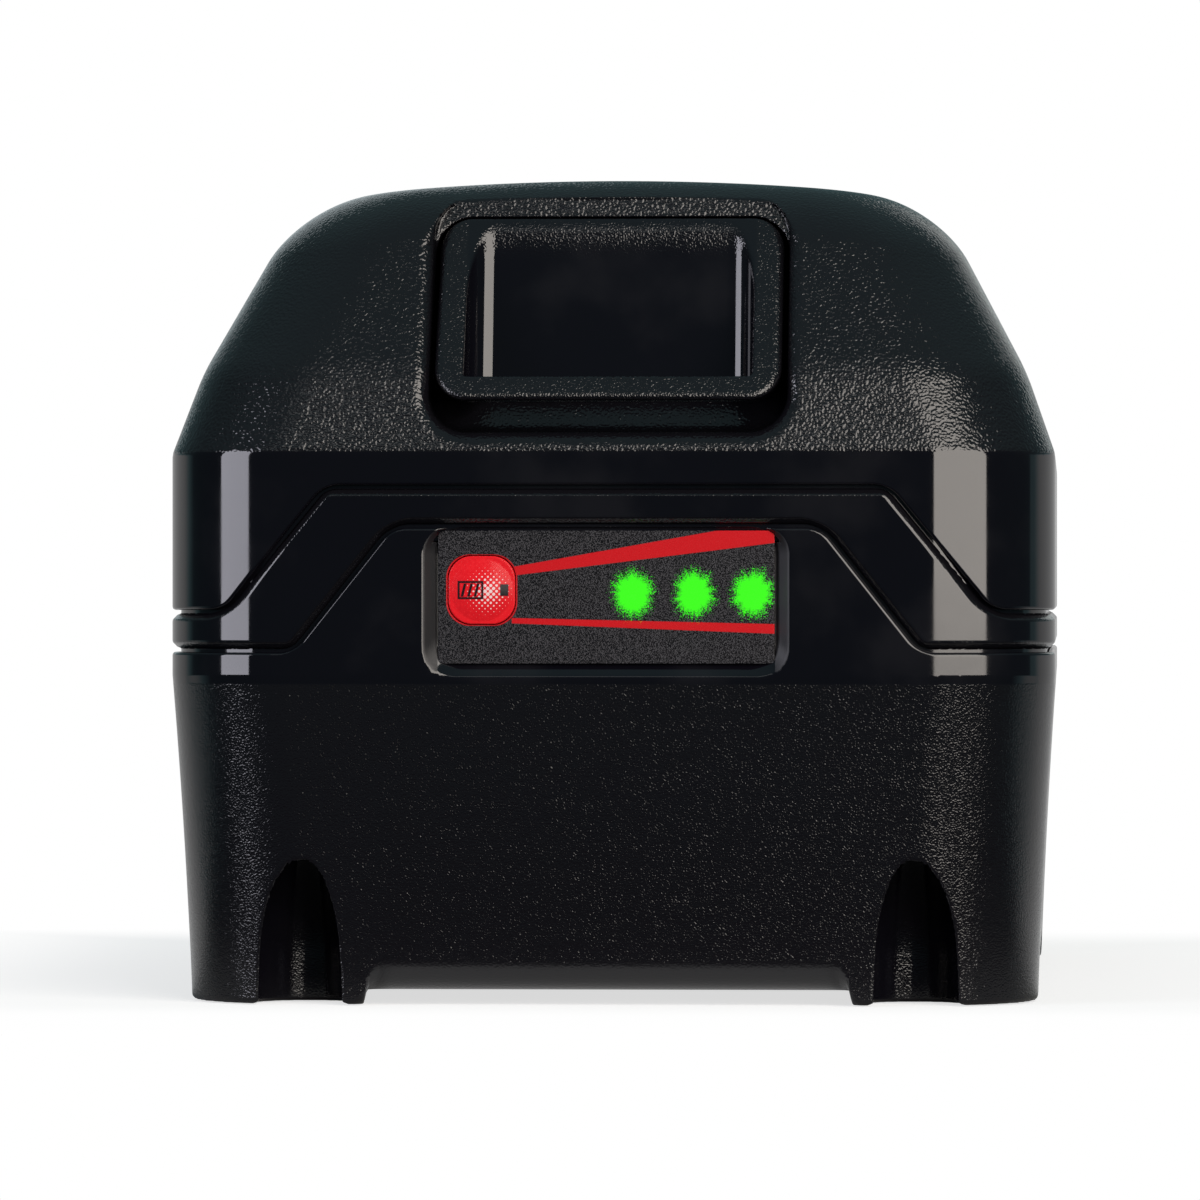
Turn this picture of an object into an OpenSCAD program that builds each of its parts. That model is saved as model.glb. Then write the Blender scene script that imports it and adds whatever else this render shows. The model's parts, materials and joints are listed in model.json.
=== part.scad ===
// Slide-on battery pack for cordless tools, in millimetres.
// The pack stands on its feet at z = 0, its front with the charge gauge faces -Y, and +Z is up.
// The tool's foot slides on over the rails from the rear and stops at the hood behind the release button.

/* [Cells] */
// Diameter of a cell
cell_d = 18.3; // [18:0.1:18.6]
// Length of a cell
cell_l = 65; // [63:0.5:67]
// Cells in one row, front to back
cells_per_row = 5; // [5:1:6]
// Wall of the holder between two cells
cell_web = 0.5; // [0.4:0.1:1]
// Depth of each holder half along its cells
holder_grip = 22; // [15:1:28]
// Wall of the holder around the outer cells
holder_wall = 0.8; // [0.6:0.1:1.2]

/* [Housing] */
// Wall of the housing shells
wall = 2.6; // [2.4:0.1:3]
// Floor of the lower housing
floor_t = 2.1; // [1.8:0.1:3]
// Corner radius of the housing, seen from above
corner_r = 11; // [9:0.5:13]
// How far the sides draw in from the waist to the foot
side_draw = 1.7; // [1.2:0.1:2.2]
// How far the front and rear draw in from the waist to the foot
end_draw = 2.1; // [1.8:0.1:2.3]
// Height of the waist, above which the walls are upright
waist_z = 28; // [26:0.5:29]
// Height of the feet under the belly
foot_h = 1.5; // [1:0.1:2]
// Gap between the two front feet
foot_gap = 41.6; // [36:0.2:44]
// Length of a foot, front to back
foot_l = 22; // [18:1:28]

/* [Seams] */
// Height of the lower housing's edge at the sides
seam_z = 30; // [29:0.2:30.6]
// How far the seam climbs around the gauge
seam_rise = 10.6; // [10:0.1:11]
// Width of the lower housing's front tab at its foot
tab_foot_w = 53.2; // [51:0.2:55]
// Width of the lower housing's front tab at its top
tab_top_w = 36.4; // [35:0.2:38]
// Height of the middle band at the sides, with both of its gaps
band_h = 3.6; // [3.4:0.1:4]
// Width of the band's front arch at its foot
arch_foot_w = 65.4; // [64:0.2:67]
// Width of the band's front arch at its top
arch_top_w = 48; // [46:0.2:50]
// Shadow gap between the band and each shell
seam_gap = 0.6; // [0.4:0.1:0.8]
// Thickness of a shell's edge outside the band's lip
seam_land = 1.5; // [1.4:0.1:1.6]
// How far the band's lip reaches behind each shell's edge
lip_h = 1.2; // [0.8:0.1:1.4]

/* [Hood] */
// Height of the hood's start below the deck
deck_edge_h = 3.3; // [2.8:0.1:3.8]
// Lean of the hood's lower slope from upright, in degrees
lower_lean = 20.5; // [18:0.5:23]
// Height of the hood's lower slope
lower_slope_h = 9; // [8:0.2:10]
// Lean of the hood's upper slope from upright, in degrees
upper_lean = 30; // [28:0.5:32]
// Height of the hood's upper slope
upper_slope_h = 8.8; // [8:0.2:10]
// Radius of the hood's shoulder
shoulder_r = 10; // [9:0.2:11]
// Rise of the hood's crown above its shoulders
crown_h = 1; // [0.8:0.1:1.4]
// Length of the hood from the front of the pack to its rear wall
hood_l = 29; // [28:0.5:32]

/* [Rails] */
// Width over the two rails
rail_w = 50; // [48:0.5:52]
// How far a rail stands out over its groove
rail_lip = 4.5; // [4.2:0.1:5]
// Height of the groove under a rail
groove_h = 6; // [5:0.2:7]
// Thickness of a rail
rail_t = 5; // [4.4:0.2:6]
// Distance from the rails' rear end to the rear of the pack
rail_setback = 8; // [7:0.5:10]
// Distance from the centre to each power contact
power_slot_x = 13.5; // [12.5:0.1:14]
// Width of a power contact's slot
power_slot_w = 3.2; // [2.8:0.1:3.6]
// Pitch of the signal contacts
signal_pitch = 4.5; // [4:0.1:5]
// Width of a signal contact's slot
signal_slot_w = 2; // [1.6:0.1:2.2]
// Length of the contact slots
slot_l = 25; // [22:0.5:27]

/* [Release button] */
// Width of the release button
button_w = 29.6; // [28:0.2:31]
// Height of the button's lower edge above the hood's start
button_rise = 4; // [3.6:0.1:4.4]
// Height from the button's top edge to the top of the hood
button_cover = 2.1; // [2:0.1:2.6]
// Lean of the button's face from upright, in degrees
button_lean = 32; // [31:0.5:34]
// Height of the rolled-back top edge of the button
button_roll_h = 2.6; // [2:0.1:3]
// Thickness of the button's face
button_t = 3.2; // [2.8:0.1:3.4]
// Corner radius of the button
button_r = 2.8; // [2:0.1:3.2]
// Width of the thumb dish
dish_w = 24.2; // [22:0.2:25]
// Height of the thumb dish, seen from the front
dish_h = 13; // [11:0.2:13.4]
// Depth of the thumb dish at its lower ledge
dish_depth = 2.2; // [1.6:0.1:2.3]
// Downward travel of the button
button_travel = 2.5; // [2:0.1:3]
// Width of the latch tongue
tongue_w = 16; // [12:0.5:17]

/* [Gauge] */
// Width of the gauge window
window_w = 29.6; // [29:0.2:31]
// Height of the gauge window below the seam
window_h = 12.4; // [12:0.1:13]
// Depth of the gauge window
window_depth = 0.9; // [0.7:0.1:0.9]
// Corner radius of the gauge window
window_r = 2.4; // [1.6:0.1:3]
// Thickness of the gauge label
label_t = 0.35; // [0.25:0.05:0.45]
// Width of the gauge key
key_w = 5.8; // [5.4:0.1:6.2]
// Height of the gauge key
key_h = 6; // [5.6:0.1:6.4]
// Distance from the centre to the gauge key
key_x = 10.7; // [10.4:0.1:10.9]
// Travel of the gauge key
key_travel = 0.4; // [0.3:0.05:0.5]
// Distance from the centre to the first light
light_x = 2; // [1.5:0.1:2.4]
// Pitch of the lights
light_pitch = 5; // [4.6:0.1:5.1]
// Radius of a light pipe
light_r = 1.5; // [1.2:0.1:1.6]

/* [Fasteners] */
// Distance between the housing screws, left to right
screw_span = 53.2; // [52:0.2:54]
// Radius of a housing screw's shank
screw_r = 1.5; // [1.3:0.1:1.6]
// Length of a housing screw under its head
screw_l = 21; // [18:0.5:24]
// Radius of a screw flute at the foot
flute_foot_r = 4.3; // [4:0.1:4.5]
// Radius of a screw flute at the screw's seat
flute_seat_r = 3.45; // [3.3:0.05:3.5]
// Height of the screws' seat
screw_seat_z = 17; // [15:0.5:18]

/* [Hidden] */
$fn = 48;
past = 1;             // how far a cut runs past the face it opens
fit = 0.15;           // gap between pieces that fit together
slip = 0.4;           // gap around pieces that move
touch_gap = 0.05;     // gap between pieces that push on each other
cap_flat = 0.02;      // how far the last ring of the hood stays below its top
ring_steps = 10;      // flats on each corner of the housing's outline
arc_steps = 6;        // rings on the hood's shoulder
crown_steps = 5;      // rings on the hood's crown
draw_steps = 7;       // rings from the foot to the waist
draw_bow = 0.35;      // how much the drawn-in walls bow outwards

// Stack of parts from the floor up to the deck
foam_t = 0.6;
foam_w = 60;
foam_l = 12;
foam_y = 30;          // distance from the centre to each foam pad
post_h = 2;
board_t = 1.6;
board_head = 1.3;
cell_r = cell_d / 2;
bore_r = cell_r + fit;
pitch = cell_d + cell_web;
holder_z0 = foot_h + floor_t + foam_t;
cell_z = holder_z0 + holder_wall + bore_r;
holder_z1 = cell_z + pitch + bore_r + holder_wall;
board_z = holder_z1 + post_h;
board_top = board_z + board_t;
deck_z = board_top + board_head + wall;
hood_z = deck_z - deck_edge_h;

// Stack of parts from the cells' ends out to the sides
strip_t = 0.25;
tab_t = 0.25;
sheet_t = 0.3;
end_room = strip_t + tab_t + sheet_t + fit;
cell_half = cell_l / 2;
cell_cap_r = 3.2;
cell_cap_l = 0.3;
cell_neck_l = 3;      // distance from the neck to the positive end
cell_neck_w = 0.8;
cell_neck_d = 0.4;
ring_t = 0.2;
bead_r = 1.5;
bead_lead_r = 0.6;
link_w = 8;
lead_t = 0.3;
strap_t = 0.5;
strap_w = 3;
sheet_in = 2;         // how far the insulation sheets stay inside the holder's outline
body_w = cell_l + 2 * (end_room + side_draw + 2 * fit + wall);

// Stack of parts from the cells out to the front and rear
column_r = 5.4;
column_gap = 0.6;
column_cover = 4.75;
holder_half_l = (cells_per_row - 1) / 2 * pitch + bore_r + holder_wall;
screw_y = holder_half_l + column_gap + column_r;
body_l = 2 * (screw_y + column_cover);
front_y = -body_l / 2;

// Profile of the hood
crease_z = hood_z + lower_slope_h;
crease_in = lower_slope_h * tan(lower_lean);
shoulder_z = crease_z + upper_slope_h;
shoulder_in = crease_in + upper_slope_h * tan(upper_lean);
arc_z = shoulder_z - shoulder_r * sin(upper_lean);
arc_in = shoulder_in + shoulder_r * cos(upper_lean);
body_h = arc_z + shoulder_r + crown_h;
arc_x = body_w / 2 - arc_in;
crown_r = (pow(arc_x, 2) + pow(shoulder_r + crown_h, 2) - pow(shoulder_r, 2)) / (2 * crown_h);
crown_angle = asin(arc_x / (crown_r - shoulder_r));
crown_z = arc_z + shoulder_r * cos(crown_angle);
crown_run = 4;
hood_y = front_y + hood_l;

// Seam lines: height at the sides, height of the arch, half width at its foot and at its top
lower_seam = [seam_z, seam_z + seam_rise, tab_foot_w / 2, tab_top_w / 2];
upper_seam = [seam_z + band_h, seam_z + band_h + seam_rise, arch_foot_w / 2, arch_top_w / 2];
arch_reach = 16;      // how far the front arch reaches in behind the front face

// Rails, with the tower that carries them
tower_y0 = hood_y - wall / 2;
tower_y1 = body_l / 2 - rail_setback;
stem_half = rail_w / 2 - rail_lip;
lip_z = deck_z + groove_h;
rail_z = lip_z + rail_t;
tower_wall = 2.3;
tower_in = stem_half - tower_wall;
tower_top = rail_z - tower_wall;
slot_y = tower_y1 - slot_l;
slot_floor_h = 4;     // height of the contact slots' floor above the board
slot_z = board_top + slot_floor_h;
signal_count = 3;
function signal_x(i) = (i - (signal_count - 1) / 2) * signal_pitch;

// Release button and its recess, by depth behind the button's face along Y
button_z = hood_z + button_rise;
button_top = body_h - button_cover;
button_setback = 0.8;
roll_lean = 50;
dish_foot = 2.5;      // height of the button's lower rim under the dish
dish_r = 1.6;
recess_clear = 0.5;
recess_r = button_r + recess_clear;
recess_z = button_z - button_travel - recess_clear;
recess_top = button_top + recess_clear;
recess_room = button_travel * sin(button_lean) + slip;
pocket_wall = 2;
function behind_face(t) = t / cos(button_lean);
function face_y(z) = front_y + button_setback + (z - button_z) * tan(button_lean);
floor_back = behind_face(button_t + recess_room);
pocket_back = floor_back + behind_face(pocket_wall);
arm_w = 18;
arm_h = 4.6;
arm_top = tower_top - slip;
arm_z = arm_top - arm_h;
tongue_gap = 4;       // distance from the hood's rear wall to the tongue
tongue_l = 5.2;
tongue_flat = 2;      // length of the tongue's top before its ramp
tongue_y = hood_y + tongue_gap;
tongue_top = rail_z + button_travel;

// Springs under the release arm, on the latch bracket
bracket_t = 1.8;
bracket_z = board_z;
bracket_top = bracket_z + bracket_t;
bracket_half = 11;
bracket_l = 24;
ear_l = 7;
ear_half = 25;
ear_y = hood_y + 3.5;
bracket_screw_x = 22.7;
bracket_boss_r = 2.6;
spring_x = 5.5;
spring_y = hood_y - 8;
spring_r = 2.2;
spring_wire = 0.6;
spring_turns = 5;
spring_sides = 6;
spring_rings = 8;
spring_peg_r = 1.5;
spring_peg_h = 1.8;

// Gauge, by distance behind the front face
gauge_top = lower_seam[1];
window_z = gauge_top - window_h;
window_above = 1.3;   // how far the window runs up into the band
label_edge = 0.5;     // room between the label and the window's edge
gauge_z = gauge_top - 5.3;
window_y = front_y + window_depth;
label_y = window_y - label_t;
inner_y = front_y + wall;
key_proud = 0.5;
key_r = 2;
key_flange = 0.8;
flange_t = 0.8;
flange_y = inner_y + fit;
switch_h = 1.6;
switch_w = 4.5;
plunger_r = 1;
plunger_out = 0.5;
plunger_y = flange_y + flange_t + touch_gap;
switch_y = plunger_y + plunger_out;
gauge_board_t = 1;
gauge_board_y = switch_y + switch_h;
gauge_board_half = 15.8;
gauge_board_h = 11;
led_t = 0.8;
led_w = 2;
led_h = 1.3;
light_bar_h = 2;
switch_back = 0.3;    // back wall of the tact switch behind its plunger
light_count = 3;
function light_at(i) = light_x + i * light_pitch;
ribbon_x = 13.5;
ribbon_w = 4.5;
ribbon_t = 0.3;
ribbon_lap = 6;       // how far the ribbon runs under the main board
guide_w = 1.5;
guide_ledge = 1;

// Main board and what stands on it
board_half = 28;
board_y0 = ear_y + ear_l + 1.5;
board_y1 = tower_y1 - tower_wall;
post_x = 24;
post_r = 2.6;
post_in = 4;
post_y = [board_y0 + post_in, holder_half_l - post_in - post_r / 2];
board_screw_r = 1.1;
board_head_h = 1;
bracket_head_h = 1.2;
bracket_screw_l = 4.2;
block_wall = 2.4;
block_half = tower_in - 2 * fit;
block_y0 = slot_y - block_wall;
block_y1 = tower_y1 - tower_wall - fit;
block_top = tower_top - fit;
transistor = [10, 9, 1.4];
transistor_x = [-13, 3];
transistor_in = 12;   // distance from the board's front edge
transistor_y = board_y0 + transistor_in;
capacitor_r = 4;
capacitor_h = 9;
capacitor_gap = 3;    // room between the capacitor and the terminal block
shunt = [7, 3, 1];
shunt_x = -14;
contact_t = 0.6;
contact_gap = 1;      // room around a contact at the ends and the top of its slot
leg_y = 2;            // distance from the slot's end to a contact's leg
leg_l = 4;
contact_l = 14;
lead_x0 = post_x + 2 * board_screw_r + 2 * slip - fit; // where the leads start on the main board

// Housing screws
head_r = 2.9;
head_h = 2.4;
hex_share = 0.55;     // size of a hex socket within its screw's head
pilot_r = screw_r - fit;
boss_r = 2.6;
column_rise = 7;      // how far a screw's column stands above its seat
column_top = screw_seat_z + column_rise;

CELL_NAMES = [for (row = ["lower", "upper"]) for (i = [1 : cells_per_row]) str(row, "_cell_", i)];

// Outline of the housing

// How far the walls draw in at a height, as a share of the full draw at the foot
function draw_share(z) = z >= waist_z ? 0 : let (t = 1 - z / waist_z) t * (1 + draw_bow * (1 - t));

// How far the hood leans in at a height, up to its crown
function lean_in(z) =
    z <= hood_z ? 0 :
    z <= crease_z ? (z - hood_z) * tan(lower_lean) :
    z <= shoulder_z ? crease_in + (z - crease_z) * tan(upper_lean) :
    arc_in - sqrt(max(0, pow(shoulder_r, 2) - pow(min(z, crown_z) - arc_z, 2)));

function half_w(z) = z > crown_z
    ? sqrt(pow(crown_r, 2) - pow(z - body_h + crown_r, 2))
    : body_w / 2 - side_draw * draw_share(z) - lean_in(z);

function half_l(z) = body_l / 2 - end_draw * draw_share(z) - lean_in(z)
    - (z > crown_z ? crown_run * (z - crown_z) / (body_h - crown_z) : 0);

// Heights at which the outline changes
LEVELS = concat(
    [for (i = [0 : draw_steps]) waist_z * i / draw_steps],
    [hood_z, crease_z, shoulder_z],
    [for (i = [1 : arc_steps - 1]) let (a = upper_lean + (90 - crown_angle - upper_lean) * i / arc_steps)
        arc_z + shoulder_r * sin(a)],
    [for (i = [0 : crown_steps - 1]) let (a = crown_angle * (1 - i / crown_steps))
        body_h - crown_r * (1 - cos(a))],
    [body_h - cap_flat]);

function levels(z0, z1) = concat([z0], [for (z = LEVELS) if (z > z0 + 0.1 && z < z1 - 0.1) z], [z1]);

// One ring of the outline at a height, drawn in by a wall; the hood's wall also comes down from its top
function ring(z, inset) =
    let (hx = half_w(z) - inset, hy = half_l(z) - inset,
         r = min(max(corner_r - inset, 2), hx * 0.95),
         height = z <= hood_z ? z : z - inset * (z - hood_z) / (body_h - hood_z))
    [for (c = [[1, 1, 0], [-1, 1, 90], [-1, -1, 180], [1, -1, 270]]) for (k = [0 : ring_steps])
        let (a = c[2] + 90 * k / ring_steps)
        [c[0] * (hx - r) + r * cos(a), c[1] * (hy - r) + r * sin(a), height]];

// A closed skin through rings of equal count, each ring running anticlockwise seen from above
module loft(rings) {
    n = len(rings[0]);
    last = len(rings) - 1;
    polyhedron(
        points = [for (r = rings) each r],
        faces = concat(
            [[for (k = [0 : n - 1]) k]],
            [for (i = [0 : last - 1]) for (k = [0 : n - 1])
                let (a = i * n + k, b = i * n + (k + 1) % n) each [[a, a + n, b + n], [a, b + n, b]]],
            [[for (k = [n - 1 : -1 : 0]) last * n + k]]));
}

// The housing's solid outline between two heights, drawn in by a wall
module outline(z0, z1, inset = 0) {
    loft([for (z = levels(z0, z1)) ring(z, inset)]);
}

// Helpers

module box(x, y, z) {
    translate([x[0], y[0], z[0]]) cube([x[1] - x[0], y[1] - y[0], z[1] - z[0]]);
}

// Extrudes a drawing of X and Z along Y
module along_y(y0, y1) {
    translate([0, y1, 0]) rotate([90, 0, 0]) linear_extrude(y1 - y0) children();
}

// Extrudes a drawing of Y and Z along X
module along_x(x0, x1) {
    translate([x0, 0, 0]) rotate([90, 0, 90]) linear_extrude(x1 - x0) children();
}

// A cylinder along Y
module rod_y(x, z, y0, y1, r) {
    translate([x, y1, z]) rotate([90, 0, 0]) cylinder(r = r, h = y1 - y0);
}

// A cylinder along X
module rod_x(y, z, x0, x1, r) {
    translate([x0, y, z]) rotate([0, 90, 0]) cylinder(r = r, h = x1 - x0);
}

// A rectangle with round corners, between two corners
module rounded(low, high, r) {
    size = high - low;
    translate(low + [r, 0]) square([size[0] - 2 * r, size[1]]);
    translate(low + [0, r]) square([size[0], size[1] - 2 * r]);
    for (x = [low[0] + r, high[0] - r]) for (y = [low[1] + r, high[1] - r]) translate([x, y]) circle(r);
}

module at_screws() {
    for (x = [-1, 1]) for (y = [-1, 1]) translate([x * screw_span / 2, y * screw_y, 0]) children();
}

// A seam line moved up by a gap, which also moves the slanted parts
function moved(seam, gap) =
    let (slope = atan2(seam[1] - seam[0], seam[2] - seam[3]), shift = gap * tan(slope / 2))
    [seam[0] + gap, seam[1] + gap, seam[2] + shift, seam[3] + shift];

// Everything under a seam line, from a height up
module under_seam(seam, z0) {
    reach = body_l / 2 + past;
    side = body_w / 2 + past;
    box([-side, side], [-reach, reach], [z0, seam[0]]);
    along_y(-reach, front_y + arch_reach)
        polygon([[-seam[2], seam[0]], [-seam[2], z0], [seam[2], z0], [seam[2], seam[0]],
            [seam[3], seam[1]], [-seam[3], seam[1]]]);
}

// Shells

module screw_columns() {
    intersection() {
        at_screws() cylinder(r = column_r, h = column_top);
        outline(0, column_top + past);
    }
}

module belly_cuts() {
    side = body_w / 2 + past;
    gap = foot_gap / 2;
    along_y(-body_l / 2 - past, body_l / 2 + past)
        polygon([[-gap + foot_h / 3, -past], [-gap, foot_h], [gap, foot_h], [gap - foot_h / 3, -past]]);
    box([-side, side], [front_y + foot_l, -front_y - foot_l], [-past, foot_h]);
}

// Window for the gauge label, running up through the seam into the band
module gauge_window() {
    half = window_w / 2;
    along_y(front_y - past, window_y)
        rounded([-half, window_z], [half, gauge_top + window_above], window_r);
}

// Guides that hold the gauge board behind the front wall
module gauge_guides() {
    for (side = [0, 1]) mirror([side, 0, 0]) {
        inner = gauge_board_half - guide_ledge;
        outer = gauge_board_half + fit + guide_w;
        z = [gauge_z - gauge_board_h / 2, gauge_z + gauge_board_h / 2 - lip_h - seam_gap];
        box([inner, outer], [inner_y - fit, gauge_board_y - touch_gap], z);
        box([gauge_board_half + fit, outer], [inner_y, gauge_board_y + gauge_board_t], z);
    }
}

module lower_housing() {
    top = lower_seam[1] + past;
    color([0.035, 0.035, 0.04]) difference() {
        union() {
            difference() {
                intersection() {
                    outline(0, top);
                    under_seam(lower_seam, -past);
                }
                outline(foot_h + floor_t, top + past, wall);
                difference() {
                    outline(seam_z - lip_h - past, top + past, seam_land);
                    under_seam(moved(lower_seam, -lip_h), 0);
                }
            }
            screw_columns();
            gauge_guides();
        }
        belly_cuts();
        gauge_window();
        at_screws() {
            translate([0, 0, -past])
                cylinder(r1 = flute_foot_r, r2 = flute_seat_r, h = screw_seat_z + past);
            cylinder(r = screw_r + fit, h = column_top + past);
        }
        screw_bosses(column_top, lower_seam[1] + past, 2 * fit);
        key_hole(inner_y + past);
        for (i = [0 : light_count - 1])
            rod_y(light_at(i), gauge_z, front_y, inner_y + past, light_r + fit);
    }
}

module key_hole(y1) {
    w = key_w / 2 + fit;
    h = key_h / 2 + fit;
    along_y(front_y, y1)
        rounded([-key_x - w, gauge_z - h], [-key_x + w, gauge_z + h], key_r + fit);
}

module middle_band() {
    low = moved(lower_seam, seam_gap);
    high = moved(upper_seam, -seam_gap);
    low_lip = moved(lower_seam, -lip_h);
    high_lip = moved(upper_seam, lip_h);
    z0 = low_lip[0] - past;
    z1 = high_lip[1] + past;
    color([0.02, 0.02, 0.024]) difference() {
        union() {
            difference() {
                intersection() {
                    outline(z0, z1);
                    under_seam(high, z0 - past);
                }
                under_seam(low, z0 - 2 * past);
            }
            difference() {
                intersection() {
                    outline(z0, z1, seam_land + fit);
                    under_seam(high_lip, z0 - past);
                }
                under_seam(low_lip, z0 - 2 * past);
            }
        }
        outline(z0 - past, z1 + past, wall);
        gauge_window();
        screw_bosses(z0 - past, z1 + past, 2 * fit);
    }
}

// The hood and the deck as one solid, drawn in by a wall
module hood_and_deck(z0, inset = 0) {
    side = body_w / 2 + past;
    difference() {
        outline(z0, body_h - cap_flat, inset);
        box([-side, side], [hood_y - inset, body_l / 2 + past], [deck_z - inset, body_h + past]);
    }
}

module tower() {
    along_y(tower_y0, tower_y1)
        polygon([[-stem_half, deck_z - wall / 2], [stem_half, deck_z - wall / 2], [stem_half, lip_z],
            [rail_w / 2, lip_z], [rail_w / 2, rail_z], [-rail_w / 2, rail_z], [-rail_w / 2, lip_z],
            [-stem_half, lip_z]]);
}

// Recess of the release button, cut from the front back to a plane behind the button's face
module recess(grow, back) {
    half = button_w / 2 + recess_clear + grow;
    low = recess_z - grow;
    high = recess_top + grow;
    intersection() {
        along_y(front_y - past, hood_y) rounded([-half, low], [half, high], recess_r + grow);
        along_x(-half - past, half + past)
            polygon([[front_y - 2 * past, low - past], [face_y(low - past) + back, low - past],
                [face_y(high + past) + back, high + past], [front_y - 2 * past, high + past]]);
    }
}

module contact_slots(y0, y1, z0, z1) {
    for (x = [-power_slot_x, power_slot_x])
        box([x - power_slot_w / 2, x + power_slot_w / 2], [y0, y1], [z0, z1]);
    for (i = [0 : signal_count - 1])
        box([signal_x(i) - signal_slot_w / 2, signal_x(i) + signal_slot_w / 2], [y0, y1], [z0, z1]);
}

module screw_bosses(z0, z1, grow = 0) {
    at_screws() translate([0, 0, z0]) cylinder(r = boss_r + grow, h = z1 - z0);
}

// The bare shell of the hood and the deck, with the edge that takes the band's lip
module upper_shell() {
    z0 = upper_seam[0];
    difference() {
        union() {
            hood_and_deck(z0);
            tower();
        }
        hood_and_deck(z0 - past, wall);
        box([-tower_in, tower_in], [hood_y - 2 * wall, tower_y1 - tower_wall],
            [deck_z - 2 * wall, tower_top]);
        under_seam(upper_seam, z0 - 2 * past);
        intersection() {
            outline(z0 - past, upper_seam[1] + 2 * lip_h, seam_land);
            under_seam(moved(upper_seam, lip_h), z0 - 2 * past);
        }
    }
}

module upper_housing() {
    opening = arm_w / 2 + slip;
    color([0.035, 0.035, 0.04]) difference() {
        union() {
            upper_shell();
            intersection() {
                hood_and_deck(column_top - past);
                union() {
                    recess(pocket_wall, pocket_back);
                    screw_bosses(column_top, deck_z + lower_slope_h);
                }
            }
            for (x = [-1, 1]) translate([x * bracket_screw_x, ear_y + ear_l / 2, bracket_top])
                cylinder(r = bracket_boss_r, h = deck_z - wall / 2 - bracket_top);
        }
        recess(0, floor_back);
        box([-opening, opening], [front_y, hood_y - 2 * wall],
            [arm_z - button_travel - slip, arm_top + slip]);
        box([-tongue_w / 2 - slip, tongue_w / 2 + slip], [tongue_y - slip, tongue_y + tongue_l + slip],
            [tower_top - past, rail_z + past]);
        contact_slots(slot_y, tower_y1 + past, slot_z, rail_z + past);
        at_screws() translate([0, 0, column_top - past])
            cylinder(r = pilot_r, h = screw_seat_z + screw_l - column_top + 2 * past);
        for (x = [-1, 1]) translate([x * bracket_screw_x, ear_y + ear_l / 2, bracket_z])
            cylinder(r = board_screw_r - fit, h = deck_z - wall / 3 - bracket_z);
    }
}

// Release mechanism

// Profile of the button's face in Y and Z, with its top edge rolled back
module button_profile() {
    roll_z = button_top - button_roll_h;
    back = behind_face(button_t);
    polygon([[face_y(button_z), button_z], [face_y(roll_z), roll_z],
        [face_y(roll_z) + button_roll_h * tan(roll_lean), button_top],
        [face_y(button_top) + back, button_top], [face_y(button_z) + back, button_z]]);
}

// Thumb dish: it starts level with the face at its top and ends in a ledge at its foot
module thumb_dish() {
    low = button_z + dish_foot;
    high = low + dish_h;
    intersection() {
        along_y(front_y - past, hood_y) rounded([-dish_w / 2, low], [dish_w / 2, high], dish_r);
        along_x(-dish_w / 2 - past, dish_w / 2 + past)
            polygon([[front_y - 2 * past, low - past], [face_y(low) + behind_face(dish_depth), low - past],
                [face_y(low) + behind_face(dish_depth), low], [face_y(high), high],
                [front_y - 2 * past, high]]);
    }
}

module latch_tongue() {
    y1 = tongue_y + tongue_l;
    along_x(-tongue_w / 2, tongue_w / 2)
        polygon([[tongue_y, arm_z], [y1, arm_z], [y1, rail_z], [tongue_y + tongue_flat, tongue_top],
            [tongue_y, tongue_top]]);
}

module release_button() {
    color([0.03, 0.03, 0.035]) {
        difference() {
            intersection() {
                along_x(-button_w / 2, button_w / 2) button_profile();
                along_y(front_y - past, hood_y)
                    rounded([-button_w / 2, button_z], [button_w / 2, button_top], button_r);
            }
            thumb_dish();
        }
        box([-arm_w / 2, arm_w / 2], [face_y(arm_top) + behind_face(button_t) - past, tongue_y + tongue_l],
            [arm_z, arm_top]);
        along_x(-arm_w / 2, arm_w / 2)
            polygon([[face_y(arm_z) + behind_face(button_t / 2), arm_z],
                [face_y(arm_top) + behind_face(button_t), arm_z],
                [face_y(arm_top) + behind_face(button_t), arm_top],
                [face_y(arm_top) + behind_face(button_t / 2), arm_top]]);
        latch_tongue();
        for (x = [-spring_x, spring_x]) translate([x, spring_y, arm_z - spring_peg_h])
            cylinder(r = spring_peg_r, h = spring_peg_h + past);
    }
}

// Points along a spring's wire, from its seat up
spring_z0 = bracket_top + spring_wire / 2 + touch_gap;
spring_z1 = arm_z - spring_wire / 2 - touch_gap;
spring_last = spring_turns * spring_rings;
spring_step = (spring_z1 - spring_z0) / spring_last;
SPRING_LINE = [for (i = [0 : spring_last]) let (a = 360 * i / spring_rings)
    [spring_r * cos(a), spring_r * sin(a), spring_z0 + spring_step * i]];
spring_gap = min([for (i = [0 : spring_last]) for (j = [i + spring_rings / 2 : 1 : spring_last])
    norm(SPRING_LINE[i] - SPRING_LINE[j])]) - spring_wire;
echo(least_gap_between_spring_turns = spring_gap);

// One ring of wire square to the spring's line
function wire_ring(i) =
    let (p = SPRING_LINE[i], a = 360 * i / spring_rings, out = [cos(a), sin(a), 0], up = [0, 0, 1])
    [for (k = [0 : spring_sides - 1]) let (b = 360 * k / spring_sides)
        p + spring_wire / 2 * (cos(b) * out + sin(b) * up)];

module release_springs() {
    color([0.72, 0.72, 0.74])
        for (x = [-spring_x, spring_x]) translate([x, spring_y, 0])
            mirror([0, 1, 0]) loft([for (i = [0 : spring_last]) wire_ring(i)]);
}

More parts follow.
